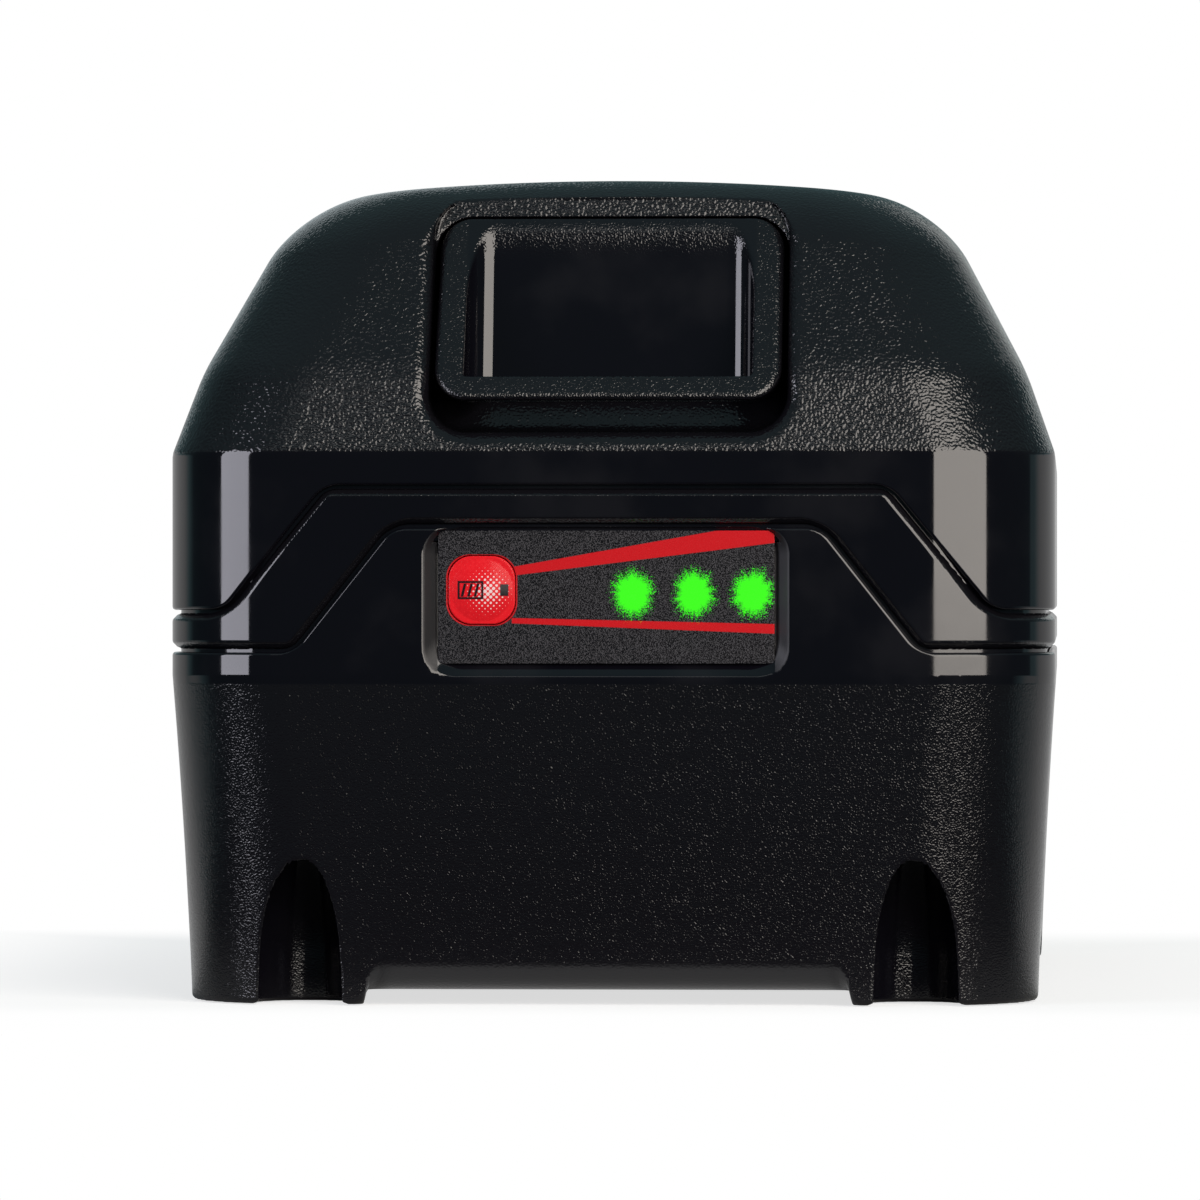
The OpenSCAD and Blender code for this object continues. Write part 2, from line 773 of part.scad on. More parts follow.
module latch_bracket() {
    screw_at = [bracket_screw_x, ear_y + ear_l / 2];
    color([0.12, 0.12, 0.13]) difference() {
        union() {
            box([-bracket_half, bracket_half], [ear_y + ear_l - bracket_l, ear_y + past],
                [bracket_z, bracket_top]);
            box([-ear_half, ear_half], [ear_y, ear_y + ear_l], [bracket_z, bracket_top]);
            for (x = [-spring_x, spring_x]) translate([x, spring_y, bracket_z])
                cylinder(r = spring_peg_r, h = bracket_t + spring_peg_h);
        }
        for (x = [-1, 1]) translate([x * screw_at[0], screw_at[1], bracket_z - past])
            cylinder(r = board_screw_r + fit, h = bracket_t + 2 * past);
    }
}

// A small screw standing on its head's underside at z = 0, its tip up or down
module small_screw(length, head_t) {
    translate([0, 0, -head_t]) difference() {
        cylinder(r = 2 * board_screw_r, h = head_t);
        translate([0, 0, -past]) cylinder(r = board_screw_r, h = past + head_t / 2, $fn = 6);
    }
    cylinder(r = board_screw_r - 2 * fit, h = length);
}

module bracket_screws() {
    color([0.6, 0.6, 0.62])
        for (x = [-1, 1]) translate([x * bracket_screw_x, ear_y + ear_l / 2, bracket_z])
            small_screw(bracket_screw_l, bracket_head_h);
}

// Charge gauge

module gauge_label() {
    half = window_w / 2 - label_edge;
    color([0.12, 0.12, 0.125]) difference() {
        along_y(label_y, window_y)
            rounded([-half, window_z + label_edge], [half, gauge_top - touch_gap], window_r - label_edge);
        key_hole(window_y + past);
        for (i = [0 : light_count - 1])
            rod_y(light_at(i), gauge_z, label_y - past, window_y + past, light_r + touch_gap);
    }
}

// Key with a flange behind the wall
module gauge_button() {
    w = key_w / 2;
    h = key_h / 2;
    color([0.78, 0.03, 0.04]) {
        along_y(label_y - key_proud, flange_y + fit)
            rounded([-key_x - w, gauge_z - h], [-key_x + w, gauge_z + h], key_r);
        along_y(flange_y, flange_y + flange_t)
            rounded([-key_x - w - key_flange, gauge_z - h - key_flange],
                [-key_x + w + key_flange, gauge_z + h + key_flange], key_r);
    }
}

// Three pipes on a bar behind the wall, which carry the lights out to the label
module light_pipes() {
    last = light_count - 1;
    color([0.2, 0.85, 0.1]) {
        for (i = [0 : last])
            rod_y(light_at(i), gauge_z, label_y, gauge_board_y - led_t - 2 * fit, light_r);
        box([light_at(0), light_at(last)], [flange_y, flange_y + flange_t],
            [gauge_z - light_bar_h / 2, gauge_z + light_bar_h / 2]);
    }
}

module gauge_board() {
    z = gauge_board_h / 2;
    color([0.05, 0.3, 0.12])
        box([-gauge_board_half, gauge_board_half], [gauge_board_y, gauge_board_y + gauge_board_t],
            [gauge_z - z, gauge_z + z]);
}

module gauge_leds() {
    color([0.9, 0.9, 0.8])
        for (i = [0 : light_count - 1])
            box([light_at(i) - led_w / 2, light_at(i) + led_w / 2], [gauge_board_y - led_t, gauge_board_y],
                [gauge_z - led_h / 2, gauge_z + led_h / 2]);
}

module tact_switch() {
    half = switch_w / 2;
    color([0.15, 0.15, 0.16]) difference() {
        box([-key_x - half, -key_x + half], [switch_y, gauge_board_y], [gauge_z - half, gauge_z + half]);
        rod_y(-key_x, gauge_z, switch_y - past, gauge_board_y - switch_back, plunger_r + touch_gap);
    }
}

module switch_plunger() {
    color([0.1, 0.1, 0.1])
        rod_y(-key_x, gauge_z, plunger_y, gauge_board_y - switch_back - key_travel - 2 * touch_gap,
            plunger_r);
}

// Flat ribbon from the gauge board up and back to the underside of the main board
module gauge_ribbon() {
    x = [ribbon_x, ribbon_x + ribbon_w];
    y = gauge_board_y + gauge_board_t;
    color([0.75, 0.5, 0.2]) {
        box(x, [y, y + ribbon_t], [gauge_z, board_z]);
        box(x, [y, board_y0 + ribbon_lap], [board_z - ribbon_t, board_z]);
    }
}

// Main board

module at_posts() {
    for (x = [-post_x, post_x]) for (y = post_y) translate([x, y, 0]) children();
}

module main_board() {
    color([0.05, 0.3, 0.12]) difference() {
        box([-board_half, board_half], [board_y0, board_y1], [board_z, board_top]);
        at_posts() translate([0, 0, board_z - past])
            cylinder(r = board_screw_r + fit, h = board_t + 2 * past);
    }
}

module board_screws() {
    color([0.6, 0.6, 0.62])
        at_posts() translate([0, 0, board_top]) mirror([0, 0, 1])
            small_screw(board_t + post_h - fit, board_head_h);
}

module terminal_block() {
    color([0.07, 0.07, 0.08]) difference() {
        box([-block_half, block_half], [block_y0, block_y1], [board_top, block_top]);
        contact_slots(slot_y + fit, block_y1 + past, slot_z, block_top + past);
        for (x = [-power_slot_x, power_slot_x]) contact_leg_hole(x, power_slot_w);
        for (i = [0 : signal_count - 1]) contact_leg_hole(signal_x(i), signal_slot_w);
    }
}

// Hole for a contact's leg, through the floor of its slot
module contact_leg_hole(x, w) {
    box([x - w / 2 + fit, x + w / 2 - fit], [slot_y + leg_y - fit, slot_y + leg_y + leg_l + fit],
        [board_top - past, slot_z + past]);
}

// A sprung fork: two leaves on a base in the slot, and a leg down to the board
module contact(x, w) {
    half = w / 2 - fit;
    y = [slot_y + contact_gap, slot_y + contact_gap + contact_l];
    for (side = [-1, 1])
        box([x + (side < 0 ? -half : half - contact_t), x + (side < 0 ? -half + contact_t : half)], y,
            [slot_z, block_top - contact_gap]);
    box([x - half, x + half], y, [slot_z, slot_z + contact_t]);
    box([x - half + fit, x + half - fit], [slot_y + leg_y, slot_y + leg_y + leg_l],
        [board_top, slot_z + fit]);
}

module positive_contact() {
    color([0.75, 0.62, 0.35]) contact(-power_slot_x, power_slot_w);
}

module negative_contact() {
    color([0.75, 0.62, 0.35]) contact(power_slot_x, power_slot_w);
}

module signal_contacts() {
    color([0.75, 0.62, 0.35]) for (i = [0 : signal_count - 1]) contact(signal_x(i), signal_slot_w);
}

module power_transistors() {
    color([0.08, 0.08, 0.08])
        for (x = transistor_x) translate([x, transistor_y, board_top]) cube(transistor);
}

module board_capacitor() {
    color([0.15, 0.16, 0.3]) translate([0, block_y0 - capacitor_gap - capacitor_r, board_top])
        cylinder(r = capacitor_r, h = capacitor_h);
}

module current_shunt() {
    color([0.5, 0.5, 0.5]) translate([shunt_x, block_y0 - 2 * capacitor_r, board_top]) cube(shunt);
}

// Cells

function cell_y(i) = (i - (cells_per_row - 1) / 2) * pitch;
function row_z(row) = cell_z + row * pitch;
function positive_side(i) = i % 2 == 0 ? 1 : -1;

// A cell lying across the pack, with its crimped neck and its button at the positive end
module cell(row, i) {
    color([0.2, 0.45, 0.6])
        translate([0, cell_y(i), row_z(row)]) rotate([0, 90 * positive_side(i), 0]) {
            translate([0, 0, -cell_half]) difference() {
                cylinder(r = cell_r, h = cell_l - cell_cap_l);
                translate([0, 0, cell_l - cell_neck_l - cell_neck_w]) difference() {
                    cylinder(r = cell_r + past, h = cell_neck_w);
                    translate([0, 0, -past]) cylinder(r = cell_r - cell_neck_d, h = cell_neck_w + 2 * past);
                }
            }
            translate([0, 0, cell_half - cell_cap_l - past])
                cylinder(r = cell_cap_r, h = cell_cap_l + past);
        }
}

// Card rings around the positive buttons
module insulator_rings() {
    color([0.9, 0.9, 0.85])
        for (row = [0, 1]) for (i = [0 : cells_per_row - 1]) {
            x0 = positive_side(i) > 0 ? cell_half - ring_t : -cell_half;
            difference() {
                rod_x(cell_y(i), row_z(row), x0, x0 + ring_t, cell_r - cell_neck_d);
                rod_x(cell_y(i), row_z(row), x0 - past, x0 + ring_t + past, cell_cap_r + cell_neck_d);
            }
        }
}

module cell_holder(side) {
    x = side < 0 ? [-cell_half, holder_grip - cell_half] : [cell_half - holder_grip, cell_half];
    color([0.55, 0.56, 0.55]) {
        difference() {
            box(x, [-holder_half_l, holder_half_l], [holder_z0, holder_z1]);
            for (row = [0, 1]) for (i = [0 : cells_per_row - 1])
                rod_x(cell_y(i), row_z(row), x[0] - past, x[1] + past, bore_r);
        }
        for (y = post_y) translate([side * post_x, y, holder_z1]) difference() {
            cylinder(r = post_r, h = post_h);
            cylinder(r = board_screw_r - fit, h = post_h + past);
        }
    }
}

// Nickel links on the cells' ends: each links a pair of cells upright, and two pairs in series
module nickel_strips(side, first) {
    x = side * cell_half;
    half = link_w / 2;
    z = [cell_z - half, row_z(1) + half];
    color([0.78, 0.77, 0.72])
        for (i = [first : 2 : cells_per_row - 1]) {
            near = max(i, 0);
            far = min(i + 1, cells_per_row - 1);
            along_x(min(x, x + side * strip_t), max(x, x + side * strip_t)) {
                for (k = [near, far]) translate([cell_y(k) - half, z[0]]) square([link_w, z[1] - z[0]]);
                for (row = [0, 1]) translate([cell_y(near), row_z(row) - half])
                    square([max(cell_y(far) - cell_y(near), half), link_w]);
            }
        }
}

// A tab from a nickel link up the cells' ends and in over the main board
module board_tab(side, y, w) {
    x0 = cell_half + strip_t;
    mirror([side < 0 ? 1 : 0, 0, 0]) {
        box([x0, x0 + tab_t], [y - w / 2, y + w / 2], [row_z(1), board_top + lead_t]);
        box([lead_x0, x0 + tab_t], [y - w / 2, y + w / 2], [board_top, board_top + lead_t]);
    }
}

module negative_lead() {
    color([0.8, 0.5, 0.3]) board_tab(-1, cell_y(cells_per_row - 1), link_w);
}

// One tab from each link between two pairs
module balance_tabs() {
    color([0.78, 0.77, 0.72]) {
        board_tab(-1, cell_y(1), strap_w);
        board_tab(-1, (cell_y(2) + cell_y(3)) / 2, strap_w);
        board_tab(1, (cell_y(1) + cell_y(2)) / 2, strap_w);
        board_tab(1, (cell_y(3) + cell_y(4)) / 2, strap_w);
    }
}

// Strap from the front cells along the holder to the main board
module positive_lead() {
    y0 = cell_y(0) - link_w / 2;
    y1 = board_y0 + strap_w + past;
    x0 = board_half + 2 * fit;
    x1 = cell_half + strip_t;
    color([0.8, 0.5, 0.3]) {
        box([x1, x1 + tab_t], [y0, y0 + link_w], [row_z(1), holder_z1 + strap_t]);
        box([x0, x1 + tab_t], [y0, y1], [holder_z1, holder_z1 + strap_t]);
        box([x0, x0 + strap_t], [y1 - strap_w, y1], [holder_z1, board_top + strap_t]);
        box([lead_x0, x0 + strap_t], [y1 - strap_w, y1], [board_top, board_top + strap_t]);
    }
}

// Bead in the valley between two cells, on a lead from the main board
module thermistor() {
    y = (cell_y(2) + cell_y(3)) / 2;
    z = row_z(1) + sqrt(pow(cell_r + bead_r + fit, 2) - pow(pitch / 2, 2));
    color([0.2, 0.2, 0.22]) translate([0, y, z]) {
        sphere(bead_r);
        cylinder(r = bead_lead_r, h = board_z - z);
    }
}

module insulation_sheet(side) {
    x = cell_half + strip_t + tab_t + fit;
    color([0.25, 0.3, 0.27]) mirror([side < 0 ? 1 : 0, 0, 0])
        box([x, x + sheet_t], [sheet_in - holder_half_l, holder_half_l - sheet_in],
            [holder_z0 + sheet_in, holder_z1 - sheet_in]);
}

module foam_pads() {
    color([0.1, 0.1, 0.1])
        for (y = [-foam_y, foam_y])
            box([-foam_w / 2, foam_w / 2], [y - foam_l / 2, y + foam_l / 2], [foot_h + floor_t, holder_z0]);
}

module housing_screws() {
    color([0.45, 0.45, 0.47])
        at_screws() translate([0, 0, screw_seat_z]) {
            translate([0, 0, -head_h]) difference() {
                cylinder(r = head_r, h = head_h);
                translate([0, 0, -past])
                    cylinder(r = head_r * hex_share, h = past + head_h * hex_share, $fn = 6);
            }
            cylinder(r = screw_r - 2 * fit, h = screw_l);
        }
}

lower_housing();
middle_band();
upper_housing();
release_button();
release_springs();
latch_bracket();
bracket_screws();
gauge_label();
gauge_button();
light_pipes();
gauge_board();
gauge_leds();
tact_switch();
switch_plunger();
gauge_ribbon();
main_board();
board_screws();
terminal_block();
positive_contact();
negative_contact();
signal_contacts();
power_transistors();
board_capacitor();
current_shunt();
cell_holder(-1);  // cell_holder_left
cell_holder(1);  // cell_holder_right
insulator_rings();
nickel_strips(-1, 0);  // nickel_strips_left
nickel_strips(1, -1);  // nickel_strips_right
positive_lead();
negative_lead();
balance_tabs();
thermistor();
insulation_sheet(-1);  // insulation_sheet_left
insulation_sheet(1);  // insulation_sheet_right
foam_pads();
housing_screws();
for (row = [0, 1]) for (i = [0 : cells_per_row - 1])
    cell(row, i);
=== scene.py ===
"""Looks of a slide-on battery pack for cordless tools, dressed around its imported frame.

Shapes are written in millimetres as distance fields: functions of x, y and z that are negative inside
a solid and grow by one for each millimetre away from it. A field is meshed on a grid, its vertices are
settled on the exact surface, and its slope gives their normals.
"""
import json
from math import cos, radians, sin, sqrt, tan

import bmesh
import bpy
import numpy as np
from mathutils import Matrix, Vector


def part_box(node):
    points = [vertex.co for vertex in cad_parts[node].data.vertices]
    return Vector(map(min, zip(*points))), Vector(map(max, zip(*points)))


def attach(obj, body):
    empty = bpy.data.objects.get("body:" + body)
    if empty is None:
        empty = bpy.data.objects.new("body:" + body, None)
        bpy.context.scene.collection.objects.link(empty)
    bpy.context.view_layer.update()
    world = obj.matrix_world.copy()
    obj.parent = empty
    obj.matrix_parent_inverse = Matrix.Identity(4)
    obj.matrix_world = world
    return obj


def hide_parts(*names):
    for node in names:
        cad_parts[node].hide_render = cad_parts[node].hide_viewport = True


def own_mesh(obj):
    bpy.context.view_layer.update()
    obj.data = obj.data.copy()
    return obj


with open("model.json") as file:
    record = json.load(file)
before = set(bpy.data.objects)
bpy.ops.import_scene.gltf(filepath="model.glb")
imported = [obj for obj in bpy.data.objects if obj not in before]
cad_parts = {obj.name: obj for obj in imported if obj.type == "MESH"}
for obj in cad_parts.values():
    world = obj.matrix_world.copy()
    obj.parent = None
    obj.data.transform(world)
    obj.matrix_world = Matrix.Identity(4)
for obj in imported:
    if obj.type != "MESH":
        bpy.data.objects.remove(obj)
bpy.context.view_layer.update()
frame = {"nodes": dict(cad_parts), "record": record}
MM = 0.001


def box_mm(node):
    """Lowest and highest corner of a CAD node, in millimetres."""
    low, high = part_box(node)
    return np.array(low) / MM, np.array(high) / MM


# Sizes of the housing, in millimetres
HALF_W, HALF_L, TOP = box_mm("upper_housing")[1]
FRONT = -HALF_L
CORNER_R = 11.0
WALL = 2.6
WAIST_Z = 28.0
GRAIN_TOP = 27.4
SIDE_DRAW = 1.5
END_DRAW = 2.1
DRAW_BOW = 0.35
BELLY_Z = 1.2
FLOOR_Z = 3.6
FOOT_GAP = 20.4
FOOT_L = 22.0
FOOT_FLARE = 0.1
FOOT_TAPER = 0.12
BELLY_R = 2.6
FOOT_EDGE = 0.45
FOOT_END = 0.25
FOOT_BLEND = 2.0

# Profile of the hood and the deck
HOOD_Z = 47.0
LOWER_LEAN = radians(19.2)
LOWER_RISE = 7.1
UPPER_LEAN = radians(27.6)
CREASE_Z = HOOD_Z + LOWER_RISE
CREASE_IN = LOWER_RISE * tan(LOWER_LEAN)
CROWN_R = 225.0
ROOF_DROP = 0.35
ROOF_Z = TOP - ROOF_DROP
SHOULDER_R = 5.0
HOOD_EASE = 0.12
CREASE_EASE = 0.2
HOOD_L = 29.0
HOOD_Y = FRONT + HOOD_L
DECK_Z = 50.7
DECK_EDGE_R = 0.8

# Rails on their tower, and the slots in its rear end
STEM_HALF = 20.5
RAIL_HALF = 25.0
LIP_Z = 56.7
RAIL_Z = 61.7
TOWER_BACK = 8.0
TOWER_END = HALF_L - TOWER_BACK
TOWER_WALL = 2.3
RAIL_R = 0.45
RAIL_FILLET = 0.3
TOWER_FILLET = 0.4
SLOT_L = 25.0
SLOT_Y = TOWER_END - SLOT_L
SLOT_Z = 50.8
POWER_X = 13.5
POWER_W = 3.2
SIGNAL_PITCH = 4.5
SIGNAL_W = 2.0
SLOT_EDGE = 0.25

# Seams: height at the sides, height of the arch, half width at its foot and at its top
LOWER_SEAM = (30.0, 40.6, 26.6, 18.2)
UPPER_SEAM = (33.6, 44.2, 32.7, 24.0)
SEAM_GAP = 0.35
SEAM_R = 0.95
SEAM_EDGE = 0.3
BAND_BEVEL = 0.5
BAND_EDGE = 0.1
SEAM_LAND = 0.6
LIP_H = 1.2
LIP_FIT = 0.15
ARCH_L = 16.0
ARCH_Y = FRONT + ARCH_L
ARCH_EASE = 6.0

# Release button and its recess
BUTTON_LOW, BUTTON_HIGH = box_mm("release_button")
BUTTON_HALF = BUTTON_HIGH[0]
BUTTON_FRONT = BUTTON_LOW[1]
BUTTON_Z = 51.4
BUTTON_TOP = 67.35
BUTTON_LEAN = radians(33.0)
BUTTON_T = 5.4
BUTTON_R = 2.8
BUTTON_EDGE = 0.7
BUTTON_TOP_EDGE = 0.2
EDGE_RUN = 1.8
EDGE_EASE = 1.2
MOULD_EDGE = 0.3
TRAVEL = 2.5
SLIP = 0.4
DISH_HALF = 12.3
DISH_Z = 53.6
DISH_TOP = 66.25
DISH_DEPTH = 4.9
DISH_SHALLOW = 0.15
DISH_SIDE = 2.3
DISH_EDGE = 0.25
RECESS_CLEAR = 0.45
RECESS_LOW = 48.75
RECESS_EDGE = 1.2
BROW_Z = 67.45
BROW_TOP = 69.1
BROW_LEAN = radians(19.0)
BROW_IN = 0.1
BROW_EDGE = 0.15
RECESS_FILLET = 0.9
RECESS_BLEND = 0.1
SHARP_Z = 65.0
RECESS_ROOM = TRAVEL * sin(BUTTON_LEAN) + SLIP
POCKET_WALL = 1.0
ARM_HALF = 9.0
ARM_TOP = 59.0
ARM_Z = 54.4
ARM_SINK = 0.4
ARM_FILLET = 0.4
TONGUE_HALF = 8.0
TONGUE_L = 5.2
TONGUE_FLAT = 2.0
TONGUE_EDGE = 0.4
TONGUE_END = BUTTON_HIGH[1]
TONGUE_TOP = RAIL_Z + TRAVEL
PEG_X = 5.5
PEG_BACK = 8.0
PEG_Y = HOOD_Y - PEG_BACK
PEG_R = 1.5
PEG_H = 1.8
SPRING_LOW, SPRING_HIGH = box_mm("release_springs")
SPRING_WIRE = 0.6
SPRING_TURNS = 6
SPRING_CLOSED = 0.35
WIRE_SIDES = 10
WIRE_RINGS = 30

# Gauge window, key and lights
LABEL_LOW, LABEL_HIGH = box_mm("gauge_label")
WINDOW_Z = 28.85
WINDOW_TOP = 40.6
WINDOW_DEPTH = 0.9
WINDOW_HALF = 14.55
WINDOW_R = 2.4
WINDOW_SLOPE = 0.95
BEVEL_DEPTH = 0.85
TOP_BEVEL = 0.15
WINDOW_EDGE = 0.1
SEAT_EDGE = 0.08
KEY_LOW, KEY_HIGH = box_mm("gauge_button")
KEY_SHIFT = 0.12
KEY_X = (KEY_LOW[0] + KEY_HIGH[0]) / 2 + KEY_SHIFT
KEY_Z = (KEY_LOW[2] + KEY_HIGH[2]) / 2
KEY_FRONT = KEY_LOW[1]
KEY_BACK = KEY_HIGH[1]
KEY_HALF = (2.85, 2.9)
KEY_R = 2.0
KEY_EDGE = 0.1
KEY_PROUD = 0.03
FLANGE = 0.8
FLANGE_T = 0.8
DOME_R = 2.65
KEY_SLIT = 0.06
BAR_LEAN = 0.25
LABEL_Z = 29.05
LABEL_TOP = 40.35
LABEL_R = 0.35
FILM_EDGE = 0.05
FILM_HOLE_EDGE = 0.03
FILM_PROUD = 0.05
LABEL_FRONT = LABEL_LOW[1] - FILM_PROUD
LIGHT_X = (2.0, 7.0, 12.0)
LIGHT_R = 1.5
GLOW_X = (2.28, 7.45, 12.46)
GLOW_Z = 35.0
GLOW_NARROW = 1.26
GLOW_LOW = 1.1
GLOW_STRENGTH = 0.45

# Screws in their flutes
SCREW_HIGH = box_mm("housing_screws")[1]
HEAD_R = 2.9
SCREW_X = SCREW_HIGH[0] - HEAD_R
SCREW_Y = SCREW_HIGH[1] - HEAD_R
FLUTE_R = 4.15
FLUTE_IN = 0.6
DOME_Z = 4.0
DOME_H = 13.2
FLUTE_SEAT_R = 3.05
FLUTE_EDGE = 0.3
SEAT_Z = 17.0
COLUMN_R = 5.4
COLUMN_TOP = 24.0
BOSS_R = 2.6
SCREW_HOLE = 1.65

# Slanted fields are shrunk, because they grow faster than their distance
SLANT = 0.7
RAMP_SLANT = 0.8


# Fields

def meet(a, b, r=None):
    """Where two solids overlap, with the edge between them rounded."""
    if r is None:
        return np.maximum(a, b)
    return np.minimum(np.maximum(a, b), -r) + np.hypot(np.maximum(a + r, 0), np.maximum(b + r, 0))


def join(a, b, r=None):
    """Two solids as one, with the corner between them filled."""
    return -meet(-a, -b, r)


def cut(a, b, r=None):
    """The first solid without the second, with the new edge rounded."""
    return meet(a, -b, r)


def bevel(a, b, width):
    """Where two solids overlap, with the edge between them cut off at a slant."""
    return meet(np.maximum(a, b), (a + b + width) * sqrt(0.5), BAND_EDGE)


def between(v, low, high):
    return np.maximum(low - v, v - high)


def ring(u, v, half_u, half_v, r):
    """A rectangle with round corners, endless along the third axis."""
    qu = np.abs(u) - half_u + r
    qv = np.abs(v) - half_v + r
    return np.hypot(np.maximum(qu, 0), np.maximum(qv, 0)) + np.minimum(np.maximum(qu, qv), 0) - r


def walls(x, y, z):
    """The upright walls, which draw in from the waist to the foot."""
    t = np.clip(1 - z / WAIST_Z, 0, None)
    share = t * (1 + DRAW_BOW * (1 - t))
    return ring(x, y, HALF_W - SIDE_DRAW * share, HALF_L - END_DRAW * share, CORNER_R)


def slope(x, y, z, foot_z, inset, lean):
    """Walls that lean in above a height."""
    run = inset + (z - foot_z) * tan(lean)
    return ring(x, y, HALF_W - run, HALF_L - run, CORNER_R) * cos(lean)


def envelope(x, y, z):
    """The outer form of the whole pack, with the hood over its full length."""
    body = meet(walls(x, y, z), slope(x, y, z, HOOD_Z, 0, LOWER_LEAN), HOOD_EASE)
    body = meet(body, slope(x, y, z, CREASE_Z, CREASE_IN, UPPER_LEAN), CREASE_EASE)
    roof = z - ROOF_Z + CROWN_R - np.sqrt(CROWN_R ** 2 - x ** 2)
    return meet(body, roof, SHOULDER_R)


def over_seam(seam, x, y, z):
    """Height over a seam, square to its line: the seam is level, and climbs to an arch at the front."""
    side_z, top_z, foot, top = seam
    rise, run = top_z - side_z, foot - top
    slant = ((np.abs(x) - foot) * rise + (z - side_z) * run) / np.hypot(rise, run)
    arch = meet(meet(z - top_z, slant, SEAM_R), y - ARCH_Y)
    return join(z - side_z, arch, SEAM_R)


def face_y(z):
    """The button's face at a height."""
    return BUTTON_FRONT + (z - BUTTON_Z) * tan(BUTTON_LEAN)


def behind_face(y, z, depth):
    """Distance behind a plane that lies under the button's face."""
    return (y - face_y(z)) * cos(BUTTON_LEAN) - depth


def recess_outline(x, z, top, grow):
    """The edge of the room around the button up to a height, as seen from the front."""
    low, high = RECESS_LOW - grow, top + grow
    return ring(x, z - (low + high) / 2, BUTTON_HALF + RECESS_CLEAR + grow, (high - low) / 2,
                BUTTON_R + RECESS_CLEAR + grow)


def recess(x, y, z):
    """The room around the button, and a shallow brow that wraps its upper end."""
    room = meet(recess_outline(x, z, BROW_Z, 0), behind_face(y, z, BUTTON_T + RECESS_ROOM), RECESS_FILLET)
    brow = (y - face_y(BROW_Z) - BROW_IN) * cos(BROW_LEAN) - (z - BROW_Z) * sin(BROW_LEAN)
    brow = meet(recess_outline(x, z, BROW_TOP, 0), brow, RECESS_BLEND)
    return join(room, brow, RECESS_BLEND)


def tower(x, y, z):
    """The T-shaped rails."""
    stem = meet(np.abs(x) - STEM_HALF, between(z, DECK_Z - WALL, RAIL_Z - RAIL_R))
    rails = meet(np.abs(x) - RAIL_HALF, between(z, LIP_Z, RAIL_Z), RAIL_R)
    return meet(join(stem, rails, RAIL_FILLET), between(y, HOOD_Y - WALL, TOWER_END), RAIL_R)


def contact_slots(x, y, z):
    power = np.abs(np.abs(x) - POWER_X) - POWER_W / 2
    signal = np.abs(x - SIGNAL_PITCH * np.clip(np.round(x / SIGNAL_PITCH), -1, 1)) - SIGNAL_W / 2
    return meet(np.minimum(power, signal), np.maximum(SLOT_Y - y, SLOT_Z - z))


def at_screws(x, y, inward=0.0):
    """Distance from the nearest screw's axis, or from a line that lies further in."""
    return np.hypot(np.abs(x) - SCREW_X + inward, np.abs(y) - SCREW_Y)


def upper_housing(x, y, z):
    whole = envelope(x, y, z)
    step = join(y - HOOD_Y, z - DECK_Z, DECK_EDGE_R)
    over = over_seam(UPPER_SEAM, x, y, z)
    solid = join(meet(whole, step, DECK_EDGE_R), tower(x, y, z), TOWER_FILLET)
    high = np.clip((z - SHARP_Z) / (BROW_Z - SHARP_Z), 0, 1)
    solid = cut(solid, recess(x, y, z), RECESS_EDGE + (BROW_EDGE - RECESS_EDGE) * high)
    arm_way = np.maximum(np.abs(x) - ARM_HALF - SLIP,
                         between(z, ARM_Z - TRAVEL - SLIP, ARM_TOP + SLIP))
    solid = cut(solid, np.maximum(arm_way, between(y, FRONT, HOOD_Y - 2 * WALL)))
    tongue_way = np.maximum(np.abs(x) - TONGUE_HALF - SLIP,
                            between(y, TONGUE_END - TONGUE_L - SLIP, TONGUE_END + SLIP))
    solid = cut(solid, np.maximum(tongue_way, LIP_Z - z), MOULD_EDGE)
    solid = cut(solid, contact_slots(x, y, z), SLOT_EDGE)
    solid = meet(solid, -over, SEAM_EDGE)
    room = meet(whole + WALL, step + WALL)
    tower_room = np.maximum(np.abs(x) - STEM_HALF + TOWER_WALL,
                            between(z, DECK_Z - 2 * WALL, RAIL_Z - TOWER_WALL))
    tower_room = np.maximum(tower_room, between(y, HOOD_Y - 2 * WALL, TOWER_END - TOWER_WALL))
    room = np.minimum(room, tower_room)
    pocket = np.maximum(recess_outline(x, z, BROW_TOP, POCKET_WALL),
                        behind_face(y, z, BUTTON_T + RECESS_ROOM + POCKET_WALL))
    room = cut(room, cut(pocket, arm_way))
    rebate = np.maximum(whole + SEAM_LAND, over - LIP_H)
    bosses = np.maximum(at_screws(x, y) - BOSS_R, COLUMN_TOP - z)
    return cut(solid, cut(np.minimum(room, rebate), bosses))


def middle_band(x, y, z):
    outer = walls(x, y, z)
    above = over_seam(LOWER_SEAM, x, y, z)
    below = over_seam(UPPER_SEAM, x, y, z)
    band = bevel(bevel(outer, SEAM_GAP - above, BAND_BEVEL), below + SEAM_GAP, BAND_BEVEL)
    lip = meet(outer + SEAM_LAND + LIP_FIT, between_seams(above, below, LIP_H))
    solid = cut(np.minimum(band, lip), gauge_window(x, y, z), WINDOW_EDGE)
    return cut(solid, np.minimum(outer + WALL, at_screws(x, y) - BOSS_R - 2 * LIP_FIT))


def between_seams(above, below, reach):
    """The room between the two seams, grown up and down by a reach."""
    return np.maximum(-above - reach, below - reach)


def gauge_window(x, y, z):
    """The window in the front: a bevel leads down to a straight seat for the label."""
    depth = y - FRONT
    out = WINDOW_SLOPE * np.maximum(1 - depth / BEVEL_DEPTH, 0)
    low, high = WINDOW_Z - out, WINDOW_TOP + TOP_BEVEL * out
    sides = ring(x, z - (low + high) / 2, WINDOW_HALF + out, (high - low) / 2, WINDOW_R)
    return meet(sides * SLANT, depth - WINDOW_DEPTH, SEAT_EDGE)


